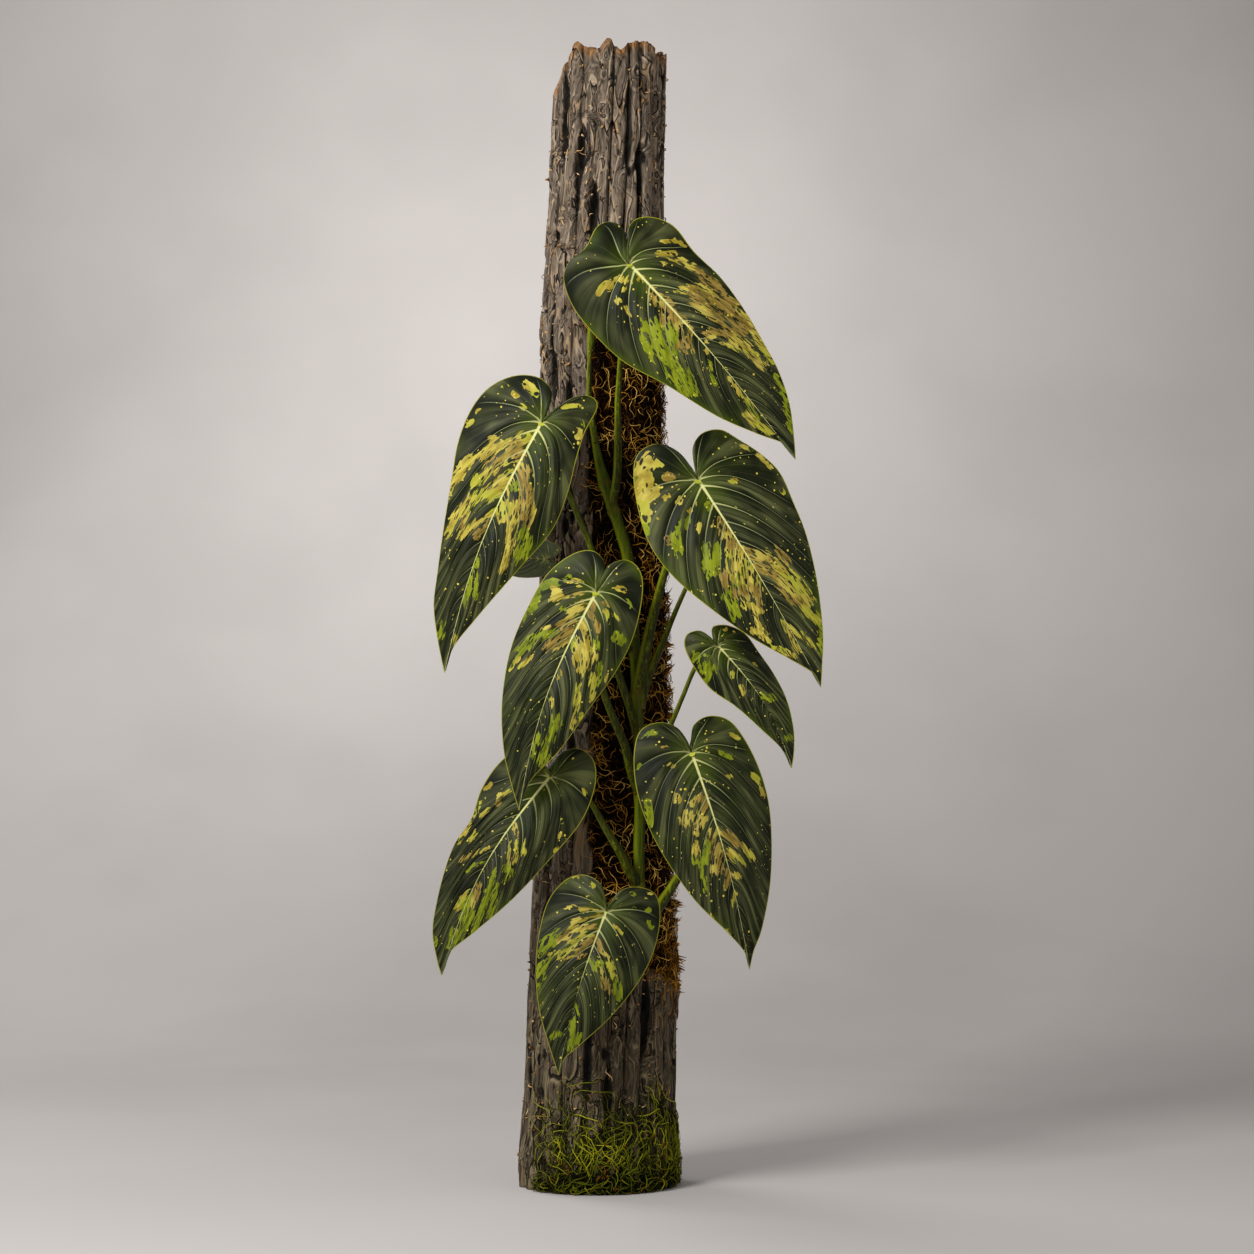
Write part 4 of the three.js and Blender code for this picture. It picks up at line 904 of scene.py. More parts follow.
# Where the variegation lies on each blade: for each stroke its half width, then its points sideways and up
markings = {
    "top": {
        "gold": [(2.8, 70, 655, 69, 651), (2.8, 13, 697, 24, 695), (2.8, 31, 698, 32, 694), (2.8, 7, 692, 1, 687),
            (1.5, 18, 688, 20, 689), (1.5, 12, 682, 15, 679), (1.5, 20, 676, 24, 670),
            (2.6, 45, 716, 55, 716, 64, 711, 73, 704), (3.3, 98, 684, 107, 671, 115, 660, 122, 648, 129, 637),
            (3.6, 61, 688, 71, 690, 83, 687, 92, 678), (3.8, 96, 656, 106, 648, 116, 641, 121, 634),
            (2, 91, 648, 103, 645), (1.5, 47, 726, 52, 726), (1.5, 57, 727, 65, 723), (1.8, 48, 708, 51, 708),
            (2.3, 110, 595, 119, 588, 129, 581), (1.5, 98, 622, 107, 609, 115, 601), (1.5, 79, 643, 82, 641),
            (1.5, 70, 643, 71, 641)],
        "lime": [(8.9, 38, 659, 45, 647, 52, 638), (6.4, 51, 660, 55, 651), (7, 47, 641, 56, 629, 65, 618),
            (4.3, 62, 623, 71, 611), (3.1, 35, 665, 38, 660), (2, 133, 625, 140, 608, 145, 583),
            (2.3, 110, 606, 120, 592), (2, 82, 633, 88, 618)],
        "tan": [(3.8, 38, 689, 46, 679, 50, 666), (4.8, 52, 676, 61, 662, 68, 653, 64, 646),
            (3.1, 73, 704, 83, 696, 93, 687, 101, 679), (4.3, 70, 689, 78, 682, 91, 680, 102, 670, 110, 661),
            (4.8, 74, 676, 85, 671, 97, 666, 107, 660), (3.3, 80, 652, 88, 657, 97, 656), (2.8, 114, 638, 124, 632)],
    },
    "right": {
        "gold": [(6.6, 36, 559, 33, 555, 30, 551), (6.9, 36, 542, 38, 538, 41, 535), (6.6, 32, 538, 33, 527, 36, 518),
            (2.4, 47, 566, 52, 562), (2.1, 42, 560, 47, 556), (1.9, 61, 532, 60, 528), (1.6, 74, 528, 73, 526),
            (1.9, 51, 533, 52, 532), (1.9, 66, 522, 69, 521), (1.5, 75, 513, 74, 506),
            (6.1, 100, 493, 102, 482, 100, 472), (5.3, 108, 490, 112, 477, 115, 464), (3.4, 108, 452, 119, 448),
            (1.6, 115, 444, 120, 435, 126, 429), (2.1, 116, 432, 128, 424), (1.9, 132, 419, 148, 412),
            (4.5, 127, 486, 139, 477, 149, 465, 157, 452), (3.2, 135, 470, 145, 461, 156, 446, 164, 440),
            (2.1, 139, 438, 143, 429, 149, 417), (1.9, 145, 435, 153, 427, 163, 420),
            (1.5, 108, 572, 122, 564, 130, 556), (1.6, 138, 539, 139, 537), (1.6, 100, 544, 104, 546)],
        "lime": [(3.2, 29, 527, 33, 514, 37, 506), (2.9, 27, 551, 28, 535), (3.2, 60, 511, 57, 499, 60, 490),
            (2.6, 67, 517, 65, 511), (3.4, 79, 495, 81, 485, 83, 474), (4, 91, 493, 88, 486, 88, 477),
            (6.6, 102, 481, 103, 469, 100, 457), (4, 100, 450, 103, 444), (2.4, 159, 445, 167, 435),
            (1.9, 165, 446, 167, 432, 167, 415), (2.4, 79, 527, 82, 525)],
        "tan": [(3.2, 49, 548, 53, 546), (1.9, 51, 501, 52, 498), (4.5, 90, 511, 95, 505, 99, 495),
            (4, 94, 473, 95, 466), (4.5, 103, 461, 111, 457), (2.9, 116, 465, 120, 453),
            (2.9, 112, 492, 120, 489, 128, 485), (3.7, 118, 482, 128, 476, 139, 465, 148, 454),
            (1.9, 134, 493, 143, 483)],
    },
    "left": {
        "gold": [(5.2, -54, 577, -66, 571, -78, 568, -90, 566), (5.2, -90, 565, -98, 559, -105, 553),
            (2.7, -107, 552, -110, 544, -112, 537), (4.2, -72, 559, -83, 552, -92, 544),
            (5.2, -66, 550, -75, 543, -84, 535, -93, 532), (3.3, -95, 532, -102, 524, -110, 514, -113, 505),
            (2.4, -78, 523, -89, 515, -99, 508, -104, 503), (2.4, -51, 535, -49, 523, -51, 512),
            (7, -69, 527, -65, 526, -66, 517), (3.9, -68, 514, -67, 502, -68, 493),
            (2.4, -69, 490, -71, 479, -73, 475), (2.1, -82, 576, -77, 577), (2.7, -56, 619, -51, 615, -48, 611),
            (1.5, -75, 616, -69, 617), (1.8, -96, 590, -100, 587), (1.5, -93, 598, -88, 601),
            (1.5, -66, 612, -62, 609), (1.5, -58, 601, -56, 599), (2.4, -15, 583, -16, 577),
            (1.5, -109, 429, -110, 421), (1.8, -112, 543, -112, 535), (1.8, -27, 600, -16, 602)],
        "lime": [(4.5, -56, 508, -55, 497, -59, 490), (2.1, -60, 487, -64, 481), (3.9, -65, 538, -60, 543),
            (2.1, -91, 485, -96, 470, -101, 452), (2.1, -92, 473, -93, 458), (2.4, -15, 592, -12, 585),
            (2.4, -118, 437, -120, 428)],
        "tan": [(5.2, -59, 568, -69, 564, -78, 559), (2.1, -99, 520, -104, 511), (2.1, -84, 514, -93, 503),
            (5.2, -59, 556, -56, 546, -52, 535), (5.2, -56, 526, -54, 517)],
    },
    "middle": {
        "gold": [(2.8, -15, 467, -24, 468), (3.6, -34, 461, -30, 458, -35, 455), (2.1, -50, 412, -58, 405),
            (1.5, -37, 435, -43, 433), (5.2, -12, 434, -11, 424, -12, 413, -13, 405), (2.8, -6, 416, -4, 411),
            (1.5, 5, 447, 7, 438), (2.8, -8, 403, -4, 394, -5, 382), (2.3, -14, 393, -16, 382),
            (2.1, -16, 380, -19, 368, -21, 360), (1.5, 11, 444, 15, 440), (1.8, 12, 465, 19, 462),
            (1.5, 6, 399, 4, 394), (1.5, -13, 369, -16, 363), (1.5, -35, 380, -34, 376), (1.5, -28, 400, -30, 397),
            (1.5, -59, 411, -66, 403)],
        "lime": [(3.6, -24, 469, -33, 468, -41, 466), (3.6, -45, 462, -49, 456, -52, 448), (1.8, -55, 444, -57, 438),
            (1.8, -23, 448, -27, 448), (3.6, -33, 430, -41, 429, -47, 425, -54, 420, -59, 416),
            (2.1, -61, 412, -65, 405), (2.8, -19, 426, -17, 418), (2.6, -3, 425, -2, 420),
            (2.3, 0, 407, 1, 395, -2, 389), (3.9, -32, 365, -35, 355, -40, 343, -43, 333), (2.1, -46, 352, -50, 337),
            (3.4, 14, 427, 18, 424), (1.8, 21, 456, 24, 451)],
        "tan": [(2.1, -13, 459, -23, 457), (2.1, -12, 454, -16, 453), (4.1, -11, 451, -19, 446, -24, 440, -28, 436),
            (3.9, -21, 431, -28, 426, -34, 422, -39, 420), (2.6, -6, 453, -6, 444, -2, 438, -1, 433),
            (1.6, 3, 453, 7, 451)],
    },
    "lower_right": {
        "gold": [(1.5, 58, 309, 61, 305, 58, 303), (1.6, 53, 331, 56, 330), (2.3, 72, 272, 73, 265),
            (1.5, 71, 280, 74, 279), (2.1, 104, 272, 111, 265, 115, 260), (2.9, 98, 266, 103, 261),
            (1.8, 103, 261, 109, 255), (1.5, 101, 248, 106, 246), (1.6, 102, 235, 101, 225), (1.6, 84, 217, 86, 214),
            (1.6, 96, 205, 99, 200), (1.5, 99, 353, 105, 350), (1.5, 116, 322, 121, 318), (1.5, 96, 323, 100, 322),
            (1.5, 123, 312, 124, 305)],
        "lime": [(1.6, 31, 331, 29, 327), (1.5, 33, 351, 37, 355, 43, 355), (3.1, 83, 272, 80, 265, 78, 259),
            (1.6, 77, 257, 77, 247), (1.6, 81, 246, 80, 235), (2.1, 36, 303, 39, 286), (2.3, 92, 339, 99, 337),
            (1.6, 71, 260, 72, 257)],
        "tan": [(2.3, 75, 307, 72, 303, 70, 302), (3.4, 79, 305, 77, 298, 75, 294), (3.1, 81, 291, 77, 288, 74, 284),
            (3.9, 67, 292, 64, 287), (1.6, 47, 344, 51, 344), (4.4, 86, 278, 88, 270, 90, 261),
            (3.4, 90, 259, 88, 251), (2.6, 90, 283, 98, 277, 105, 270), (2.1, 96, 251, 98, 246, 95, 238)],
    },
    "lower_left": {
        "gold": [(2.1, -86, 304, -91, 299, -96, 291), (1.9, -97, 289, -102, 280, -107, 272),
            (1.5, -68, 310, -73, 308), (1.5, -84, 296, -90, 291), (1.5, -93, 279, -98, 273),
            (1.5, -83, 267, -91, 264, -98, 261), (1.6, -66, 271, -68, 263, -68, 256),
            (1.5, -62, 272, -62, 263, -64, 256), (1.5, -56, 274, -57, 263), (1.5, -99, 234, -105, 228),
            (1.5, -107, 224, -109, 221), (1.5, -12, 312, -11, 308), (1.5, -29, 290, -28, 287),
            (1.5, -29, 279, -30, 276), (1.5, -32, 268, -34, 265), (1.5, -82, 315, -86, 311),
            (1.5, -76, 307, -77, 304)],
        "lime": [(1.5, -87, 256, -94, 255, -99, 250), (2.8, -69, 253, -67, 249), (1.5, -70, 246, -73, 238),
            (1.9, -79, 250, -81, 241), (3, -84, 233, -87, 223, -91, 212, -95, 204),
            (1.9, -77, 241, -78, 228, -82, 216), (2.8, -97, 232, -101, 223, -104, 213),
            (3, -97, 218, -102, 206, -109, 196), (1.6, -109, 195, -110, 192), (1.5, -111, 206, -115, 192),
            (1.6, -40, 325, -40, 322), (1.5, -124, 199, -124, 194)],
        "tan": [(1.9, -74, 301, -77, 300), (1.5, -97, 262, -104, 258), (1.6, -63, 285, -61, 278),
            (2.1, -90, 241, -92, 233, -95, 223)],
    },
    "bottom": {
        "gold": [(2.9, -11, 207, -17, 206, -23, 204), (1.9, -5, 202, -13, 201, -18, 197),
            (2.3, -17, 196, -24, 192, -30, 189, -36, 187), (1.5, -15, 188, -23, 186, -31, 184),
            (1.5, 1, 217, -6, 216, -14, 214, -20, 212), (1.5, -2, 221, -15, 222, -20, 223, -26, 222),
            (2.5, 6, 184, 9, 178, 11, 172), (1.9, -19, 245, -16, 244), (1.5, -12, 241, -9, 238),
            (1.5, -5, 240, -4, 239), (1.5, 34, 230, 38, 229), (1.5, 37, 233, 40, 232), (1.5, 11, 210, 17, 205)],
        "lime": [(3.8, -30, 202, -37, 198, -41, 193), (3.3, -43, 191, -45, 185, -45, 179),
            (2.1, -35, 186, -40, 180, -42, 175), (1.9, -46, 175, -46, 171), (1.7, -41, 173, -41, 170),
            (2.1, -46, 164, -44, 159), (3.3, -5, 183, -2, 180, 3, 181), (2.5, 13, 170, 15, 163, 14, 155),
            (1.5, -17, 149, -15, 143), (2.1, -20, 138, -20, 130, -22, 117), (1.9, -14, 128, -17, 122),
            (1.9, -36, 126, -31, 129), (1.5, 24, 234, 26, 233), (1.5, 25, 222, 28, 221), (2.3, 39, 212, 39, 208),
            (1.5, 34, 219, 37, 221)],
        "tan": [(1.9, -2, 208, -8, 207), (3.3, -23, 202, -29, 200), (4.2, -8, 198, -12, 193, -15, 189),
            (2.1, 0, 197, 2, 191, 6, 186), (1.9, 1, 176, 3, 168, 5, 163), (1.5, 6, 170, 8, 160)],
    },
    "small_right": {
        "gold": [(1.5, 101, 399, 101, 397), (1.5, 107, 389, 108, 387), (1.5, 109, 385, 109, 383),
            (1.5, 96, 433, 97, 433), (1.5, 102, 431, 103, 430)],
        "lime": [(3.1, 80, 407, 82, 402, 83, 395), (2.8, 85, 402, 88, 403), (1.5, 75, 414, 76, 408, 78, 400),
            (1.5, 71, 417, 72, 409), (1.5, 80, 413, 83, 412), (1.9, 143, 350, 146, 351), (2.3, 124, 382, 132, 380)],
        "tan": [(1.5, 118, 406, 119, 405)],
    },
    "small_back": {
        "gold": [(1.8, 110, 494, 122, 474)],
        "lime": [(2, 92, 500, 108, 480)],
    },
}


blade = {
    "columns": 112, "rows": 30, "thickness": 1.1, "quilt": 1.9, "groove": 2.4,      # the last three in mm
    "ripple": 0.16, "wave": 1.6, "waves": 14.7, "lobe": 0.26,
    "handles": (0.36, 0.34),        # how far a vein holds its way at the midrib and at the margin, as shares
    "shareCrowding": ([0, 0.34, 1], [0, 0.45, 1]), "riseCrowding": 0.06,
    "markingFade": 0.5,     # of a marking's share that is left at its half width
    "veins": 13,
    # Where each vein starts on the midrib and ends on the outline, as shares, and the way it leaves and arrives
    "starts": [0, 0, 0, 0, 0.03, 0.115, 0.205, 0.3, 0.395, 0.49, 0.59, 0.7, 0.83, 1],
    "ends": [0, 0.13, 0.31, 0.49, 0.59, 0.66, 0.715, 0.765, 0.81, 0.855, 0.895, 0.935, 0.97, 1],
    "leaves": [180, 156, 118, 82, 60, 50, 47, 45, 43, 41, 39, 35, 28, 16],
    "arrives": [180, 128, 62, 27, 18, 15, 14, 13, 12, 11, 10, 9, 7, 5],
}


def outlineCurve(points):
    points = [np.array(p, float) for p in points]
    made = []
    for i in range(len(points) - 1):
        a, b, c, d = points[max(0, i - 1)], points[i], points[i + 1], points[min(len(points) - 1, i + 2)]
        t = np.linspace(0, 1, curveSteps, endpoint=False)[:, None]
        first, last = (c - a) / 2, (d - b) / 2
        made.append((2 * b - 2 * c + first + last) * t ** 3 + (3 * c - 3 * b - 2 * first - last) * t ** 2
                    + first * t + b)
    return np.vstack([*made, points[-1][None]])


# One half of a blade as a grid of places: run down the midrib's line and out from it, in mm
def halfBlade(leaf, side, shares, rises):
    base = np.array([leaf["attach"][0], leaf["attach"][2]], float)
    tip = np.array(leaf["tip"], float) - base
    length = np.linalg.norm(tip)
    down = tip / length
    across = np.array([-down[1], down[0]]) * side
    drawn = np.array([leaf["notch"], *leaf["left" if side < 0 else "right"], leaf["tip"]], float) - base
    drawn = np.column_stack([drawn @ down, drawn @ across])
    width = drawn[:, 1].max()
    numbers = np.arange(blade["veins"] + 1)
    vein = np.interp(shares, blade["ends"], numbers)
    run = length * np.interp(vein, numbers, blade["starts"])

    def bow(place):
        return leaf["bow"] * side * np.sin(math.pi * np.clip(place / length, 0, 1))
    start = np.column_stack([run, bow(run)])
    end = evenly(outlineCurve(drawn), shares)
    reach = np.linalg.norm(end - start, axis=1)[:, None]
    leave, arrive = (np.radians(np.interp(vein, numbers, blade[key])) for key in ("leaves", "arrives"))
    near, far = blade["handles"]
    first = start + near * reach * np.column_stack([np.cos(leave), np.sin(leave)])
    last = end - far * reach * np.column_stack([np.cos(arrive), np.sin(arrive)])
    t = rises[None, :, None]
    spots = ((1 - t) ** 3 * start[:, None] + 3 * (1 - t) ** 2 * t * first[:, None]
             + 3 * (1 - t) * t ** 2 * last[:, None] + t ** 3 * end[:, None])
    t = (spots[:, :, 1] - bow(spots[:, :, 0])) / width
    s = spots[:, :, 0] / length
    rise, roundShare, phase = rises[None, :], shares[:, None], vein[:, None]
    middle = leaf["tipOut"] * np.clip(s, 0, None) ** 1.5 + leaf["arch"] * np.sin(math.pi * np.clip(s, 0, 1))
    lobe = np.where(s < 0, -blade["lobe"] * s * s * length, 0)
    gutter = blade["groove"] * np.sin(math.pi * rise ** 0.7)
    quilt = blade["quilt"] * np.abs(np.sin(math.pi * phase)) ** 0.75 * np.sin(math.pi * rise ** 0.75)
    ripple = blade["ripple"] * np.sin(math.pi * phase * 8) * np.sin(math.pi * rise ** 0.7)
    wave = blade["wave"] * np.sin(roundShare * blade["waves"] + leaf["seed"]) * rise ** 3
    relief = (gutter + quilt + ripple + wave) * smooth((1 - roundShare) * 6)
    forward = middle + lobe + relief - leaf["margin"] * np.abs(t) ** 1.8 + leaf["roll"] * spots[:, :, 1] * side
    flat = base + spots[:, :, :1] * down + spots[:, :, 1:] * across
    points = np.dstack([flat[:, :, 0], leaf["attach"][1] - forward, flat[:, :, 1]])
    steps = np.linalg.norm(np.diff(points, axis=1), axis=2)
    fromMidrib = np.column_stack([np.zeros(len(shares)), np.cumsum(steps, axis=1)])
    gap = np.linalg.norm(np.gradient(points, axis=0), axis=2) / (np.gradient(vein)[:, None] + 1e-6)
    vein2d = phase + 0 * fromMidrib
    return {"points": points, "vein": vein2d, "lane": leaf["seed"] * 31 + side * vein2d, "fromMidrib": fromMidrib,
            "fromMargin": fromMidrib[:, -1:] - fromMidrib, "gap": gap, "run": np.clip(s, 0, 1) + 0 * fromMidrib}


# How much one colour marks each point: 1 on the strokes' lines, falling off beside them
def markingField(points, strokes):
    field = np.zeros(len(points))
    for half, *flat in strokes:
        line = np.array(flat, float).reshape(-1, 2)
        nearest = np.full(len(points), np.inf)
        for a, b in zip(line, line[1:]):
            t = np.clip(((points - a) @ (b - a)) / ((b - a) @ (b - a)), 0, 1)
            nearest = np.minimum(nearest, np.linalg.norm(points - a - t[:, None] * (b - a), axis=1))
        field = np.maximum(field, np.clip(1 - blade["markingFade"] * nearest / half, 0, 1))
    return field


def bladePiece(name, leaf):
    columns, rows = blade["columns"], blade["rows"]
    piece = gridBlank("leaf_" + name + "_blade", 2 * columns, rows)
    raw = readPoints(piece)
    column = np.rint(raw[:, 0] * columns).astype(int)
    row = np.rint((raw[:, 1] + 1) / 2 * rows).astype(int)
    # Columns crowd where the veins do, and rows at the midrib and the margin
    shares = np.interp(np.linspace(0, 1, columns + 1), *blade["shareCrowding"])
    rises = np.linspace(0, 1, rows + 1)
    rises = rises - blade["riseCrowding"] * np.sin(fullTurn * rises)
    halves = [halfBlade(leaf, side, shares, rises) for side in (-1, 1)]
    cell = np.abs(column) * (rows + 1) + row

    def spread(key):
        left, right = (half[key].reshape((columns + 1) * (rows + 1), -1)[cell] for half in halves)
        return np.where(column[:, None] < 0, left, right)
    points = spread("points")
    writePoints(piece, points)
    corner = np.zeros(len(piece.data.loops), np.int32)
    piece.data.loops.foreach_get("vertex_index", corner)
    for key in ("vein", "lane", "fromMidrib", "fromMargin", "gap", "run"):
        keepValues(piece, key, spread(key)[corner, 0], "CORNER")
    keepColours(piece, "markings", [markingField(points[:, [0, 2]], markings.get(name, {}).get(colour, []))
                                    for colour in ("gold", "lime", "tan")])
    keepValues(piece, "paleness", np.full(len(points), 1.0 if name == "small_left" else 0.0))
    fronts = thicken(piece, blade["thickness"], 0, 1e-6)
    count = np.arange(len(piece.data.polygons))
    piece.data.polygons.foreach_set("material_index", ((count >= fronts) & (count < 2 * fronts)).astype(np.int32))
    return piece


# Materials. Each is made of plain shader nodes; the two effects that several share are node groups.

canvas = {}     # the node tree that is being filled


def rgb(red, green, blue):
    return (*((c / 255) ** 2.2 for c in (red, green, blue)), 1)


def darker(colour, share):
    return (*(c * share for c in colour[:3]), 1)


def place(kind, inputs=None, **settings):
    node = canvas["tree"].nodes.new("ShaderNode" + kind)
    for key, value in settings.items():
        setattr(node, key, value)
    for key, value in (inputs or {}).items():
        if isinstance(value, bpy.types.NodeSocket):
            canvas["tree"].links.new(value, node.inputs[key])
        else:
            node.inputs[key].default_value = value
    return node


def calc(operation, *values):
    return place("Math", dict(enumerate(values)), operation=operation).outputs[0]


def times(first, *others):
    for other in others:
        first = calc("MULTIPLY", first, other)
    return first


def most(first, *others):
    for other in others:
        first = calc("MAXIMUM", first, other)
    return first


def plus(one, other):
    return calc("ADD", one, other)


def minus(one, other):
    return calc("SUBTRACT", one, other)


# value * factor + shift
def fit(value, factor, shift):
    return calc("MULTIPLY_ADD", value, factor, shift)


def blend(share, low, high, way="MIX"):
    return place("Mix", {0: share, 6: low, 7: high}, data_type="RGBA", blend_type=way).outputs[2]


def ramp(value, start, end, low=0.0, high=1.0):
    return place("MapRange", {"Value": value, "From Min": start, "From Max": end, "To Min": low, "To Max": high},
                 interpolation_type="SMOOTHSTEP").outputs[0]


def colours(value, stops):
    node = place("ValToRGB", {0: value})
    while len(node.color_ramp.elements) < len(stops):
        node.color_ramp.elements.new(0.5)
    for element, (at, colour) in zip(node.color_ramp.elements, stops):
        element.position = at
        element.color = colour
    return node.outputs[0]


def here():
    return place("TexCoord").outputs["Object"]


# A mesh's own values; output 0 is a colour, 1 a vector, 2 a number
def kept(name, output=2):
    return place("Attribute", attribute_name=name).outputs[output]


def axes(vector):
    return place("SeparateXYZ", {0: vector}).outputs


def tint(red, green, blue):
    return place("CombineColor", {0: red, 1: green, 2: blue}).outputs[0]


def channels(colour):
    return place("SeparateColor", {0: colour}).outputs


def cloud(vector, scale, detail=3, rough=0.55):
    return place("TexNoise", {"Vector": vector, "Scale": scale, "Detail": detail, "Roughness": rough}).outputs[0]


# Distance in each cell, and three numbers of its own
def cells(vector, scale, randomness):
    node = place("TexVoronoi", {"Vector": vector, "Scale": scale, "Randomness": randomness})
    return node.outputs["Distance"], channels(node.outputs["Color"])


def vectors(operation, inputs):
    return place("VectorMath", inputs, operation=operation).outputs[0]


def stretched(vector, across, upright):
    return vectors("MULTIPLY", {0: vector, 1: (across, across, upright)})


def newGroup(name, inputs, build):
    tree = canvas["tree"] = bpy.data.node_groups.new(name, "ShaderNodeTree")
    for label, kind in inputs:
        tree.interface.new_socket(label, in_out="INPUT", socket_type="NodeSocket" + kind)
    tree.interface.new_socket("Mask", in_out="OUTPUT", socket_type="NodeSocketFloat")
    given, made = tree.nodes.new("NodeGroupInput"), tree.nodes.new("NodeGroupOutput")
    tree.links.new(build(given.outputs), made.inputs["Mask"])
    return tree


# Small dots of mixed sizes, in a share of the cells
def speckleNodes(given):
    far, own = cells(given["Place"], given["Scale"], 0.9)
    chosen = calc("LESS_THAN", own[0], given["Amount"])
    size = times(given["Size"], fit(own[1], 0.8, 0.4))
    return times(ramp(minus(1, calc("DIVIDE", far, size)), 0, 0.2), chosen)


# Fine fibres along one direction, at two scales
def fibreNodes(given):
    coarse = cloud(given["Place"], 1.0, 4, 0.6)
    return fit(cloud(given["Place"], given["Fineness"], 3, 0.65), 0.45, times(coarse, 0.55))


speckleGroup = newGroup("speckles", [("Place", "Vector"), ("Scale", "Float"), ("Size", "Float"), ("Amount", "Float")],
                        speckleNodes)
fibreGroup = newGroup("fibres", [("Place", "Vector"), ("Fineness", "Float")], fibreNodes)


def speckles(vector, scale, size, amount):
    return place("Group", {0: vector, 1: scale, 2: size, 3: amount}, node_tree=speckleGroup).outputs[0]


def fibres(vector, fineness):
    return place("Group", {0: vector, 1: fineness}, node_tree=fibreGroup).outputs[0]


# build returns what goes to the surface: a colour, and it may give a roughness and a height with its reach in mm
def newMaterial(name, build, **constants):
    material = bpy.data.materials.new(name)
    material.use_nodes = True
    tree = canvas["tree"] = material.node_tree
    surface = tree.nodes["Principled BSDF"]
    for key, value in constants.items():
        surface.inputs[key.replace("_", " ")].default_value = value
    made = build()
    tree.links.new(made["colour"], surface.inputs["Base Color"])
    if "roughness" in made:
        tree.links.new(made["roughness"], surface.inputs["Roughness"])
    if "height" in made:
        bump = place("Bump", {"Strength": 1.0, "Distance": made["reach"] * mm, "Height": made["height"]})
        tree.links.new(bump.outputs[0], surface.inputs["Normal"])
    return material


finish = {
    "bark": {"dark": (44, 37, 29), "middle": (90, 79, 67), "light": (129, 114, 98), "pale": (178, 158, 132),
             # The crevice colour is painted shade for fissures, pits, pores and the drops under ledges
             "creviceShade": (10, 7, 3), "tan": (150, 118, 82), "dot": (190, 142, 88), "broken": (152, 104, 54)},
    # For coir and moss, shade is painted shade on strands that lie deep, and tip the palest strands with painted
    # highlight on those lifted highest
    "coir": {"shade": (24, 14, 2), "low": (95, 60, 11), "high": (202, 140, 38), "tip": (244, 196, 96)},
    "chip": {"shade": (70, 46, 24), "low": (130, 94, 56), "high": (188, 142, 88), "tip": (224, 190, 138)},
    "moss": {"shade": (16, 18, 1), "low": (50, 54, 3), "high": (104, 108, 10), "tip": (160, 156, 36),
             "brown": (120, 80, 16)},
    # The edge colours are painted highlights on the rods' lit side; on the petioles they also colour pale fibres
    "stem": {"dark": (26, 32, 1), "light": (78, 90, 2), "edge": (124, 136, 12), "joint": (92, 82, 20),
             "dot": (168, 152, 56)},
    "petiole": {"base": (40, 44, 2), "upper": (68, 74, 4), "edge": (142, 152, 26), "joint": (98, 86, 22),
                "top": (170, 176, 60), "dot": (172, 162, 76)},
    # The satin colour is painted sheen between the veins
    "blade": {"deep": (19, 24, 6), "paintedSheen": (86, 89, 54), "glow": (70, 86, 8), "gold": (186, 172, 76),
              "goldDeep": (140, 122, 38), "limeGold": (158, 160, 48), "lime": (130, 140, 28),
              "limeDeep": (94, 106, 14), "tan": (154, 128, 62), "tanDeep": (104, 88, 32), "fleck": (204, 188, 76),
              "vein": (148, 154, 104), "midrib": (206, 206, 134), "margin": (144, 140, 40),
              "palest": (122, 130, 100), "under": (84, 92, 46), "underVein": (120, 124, 70)},
}
finish = {part: {name: rgb(*parts) for name, parts in palette.items()} for part, palette in finish.items()}


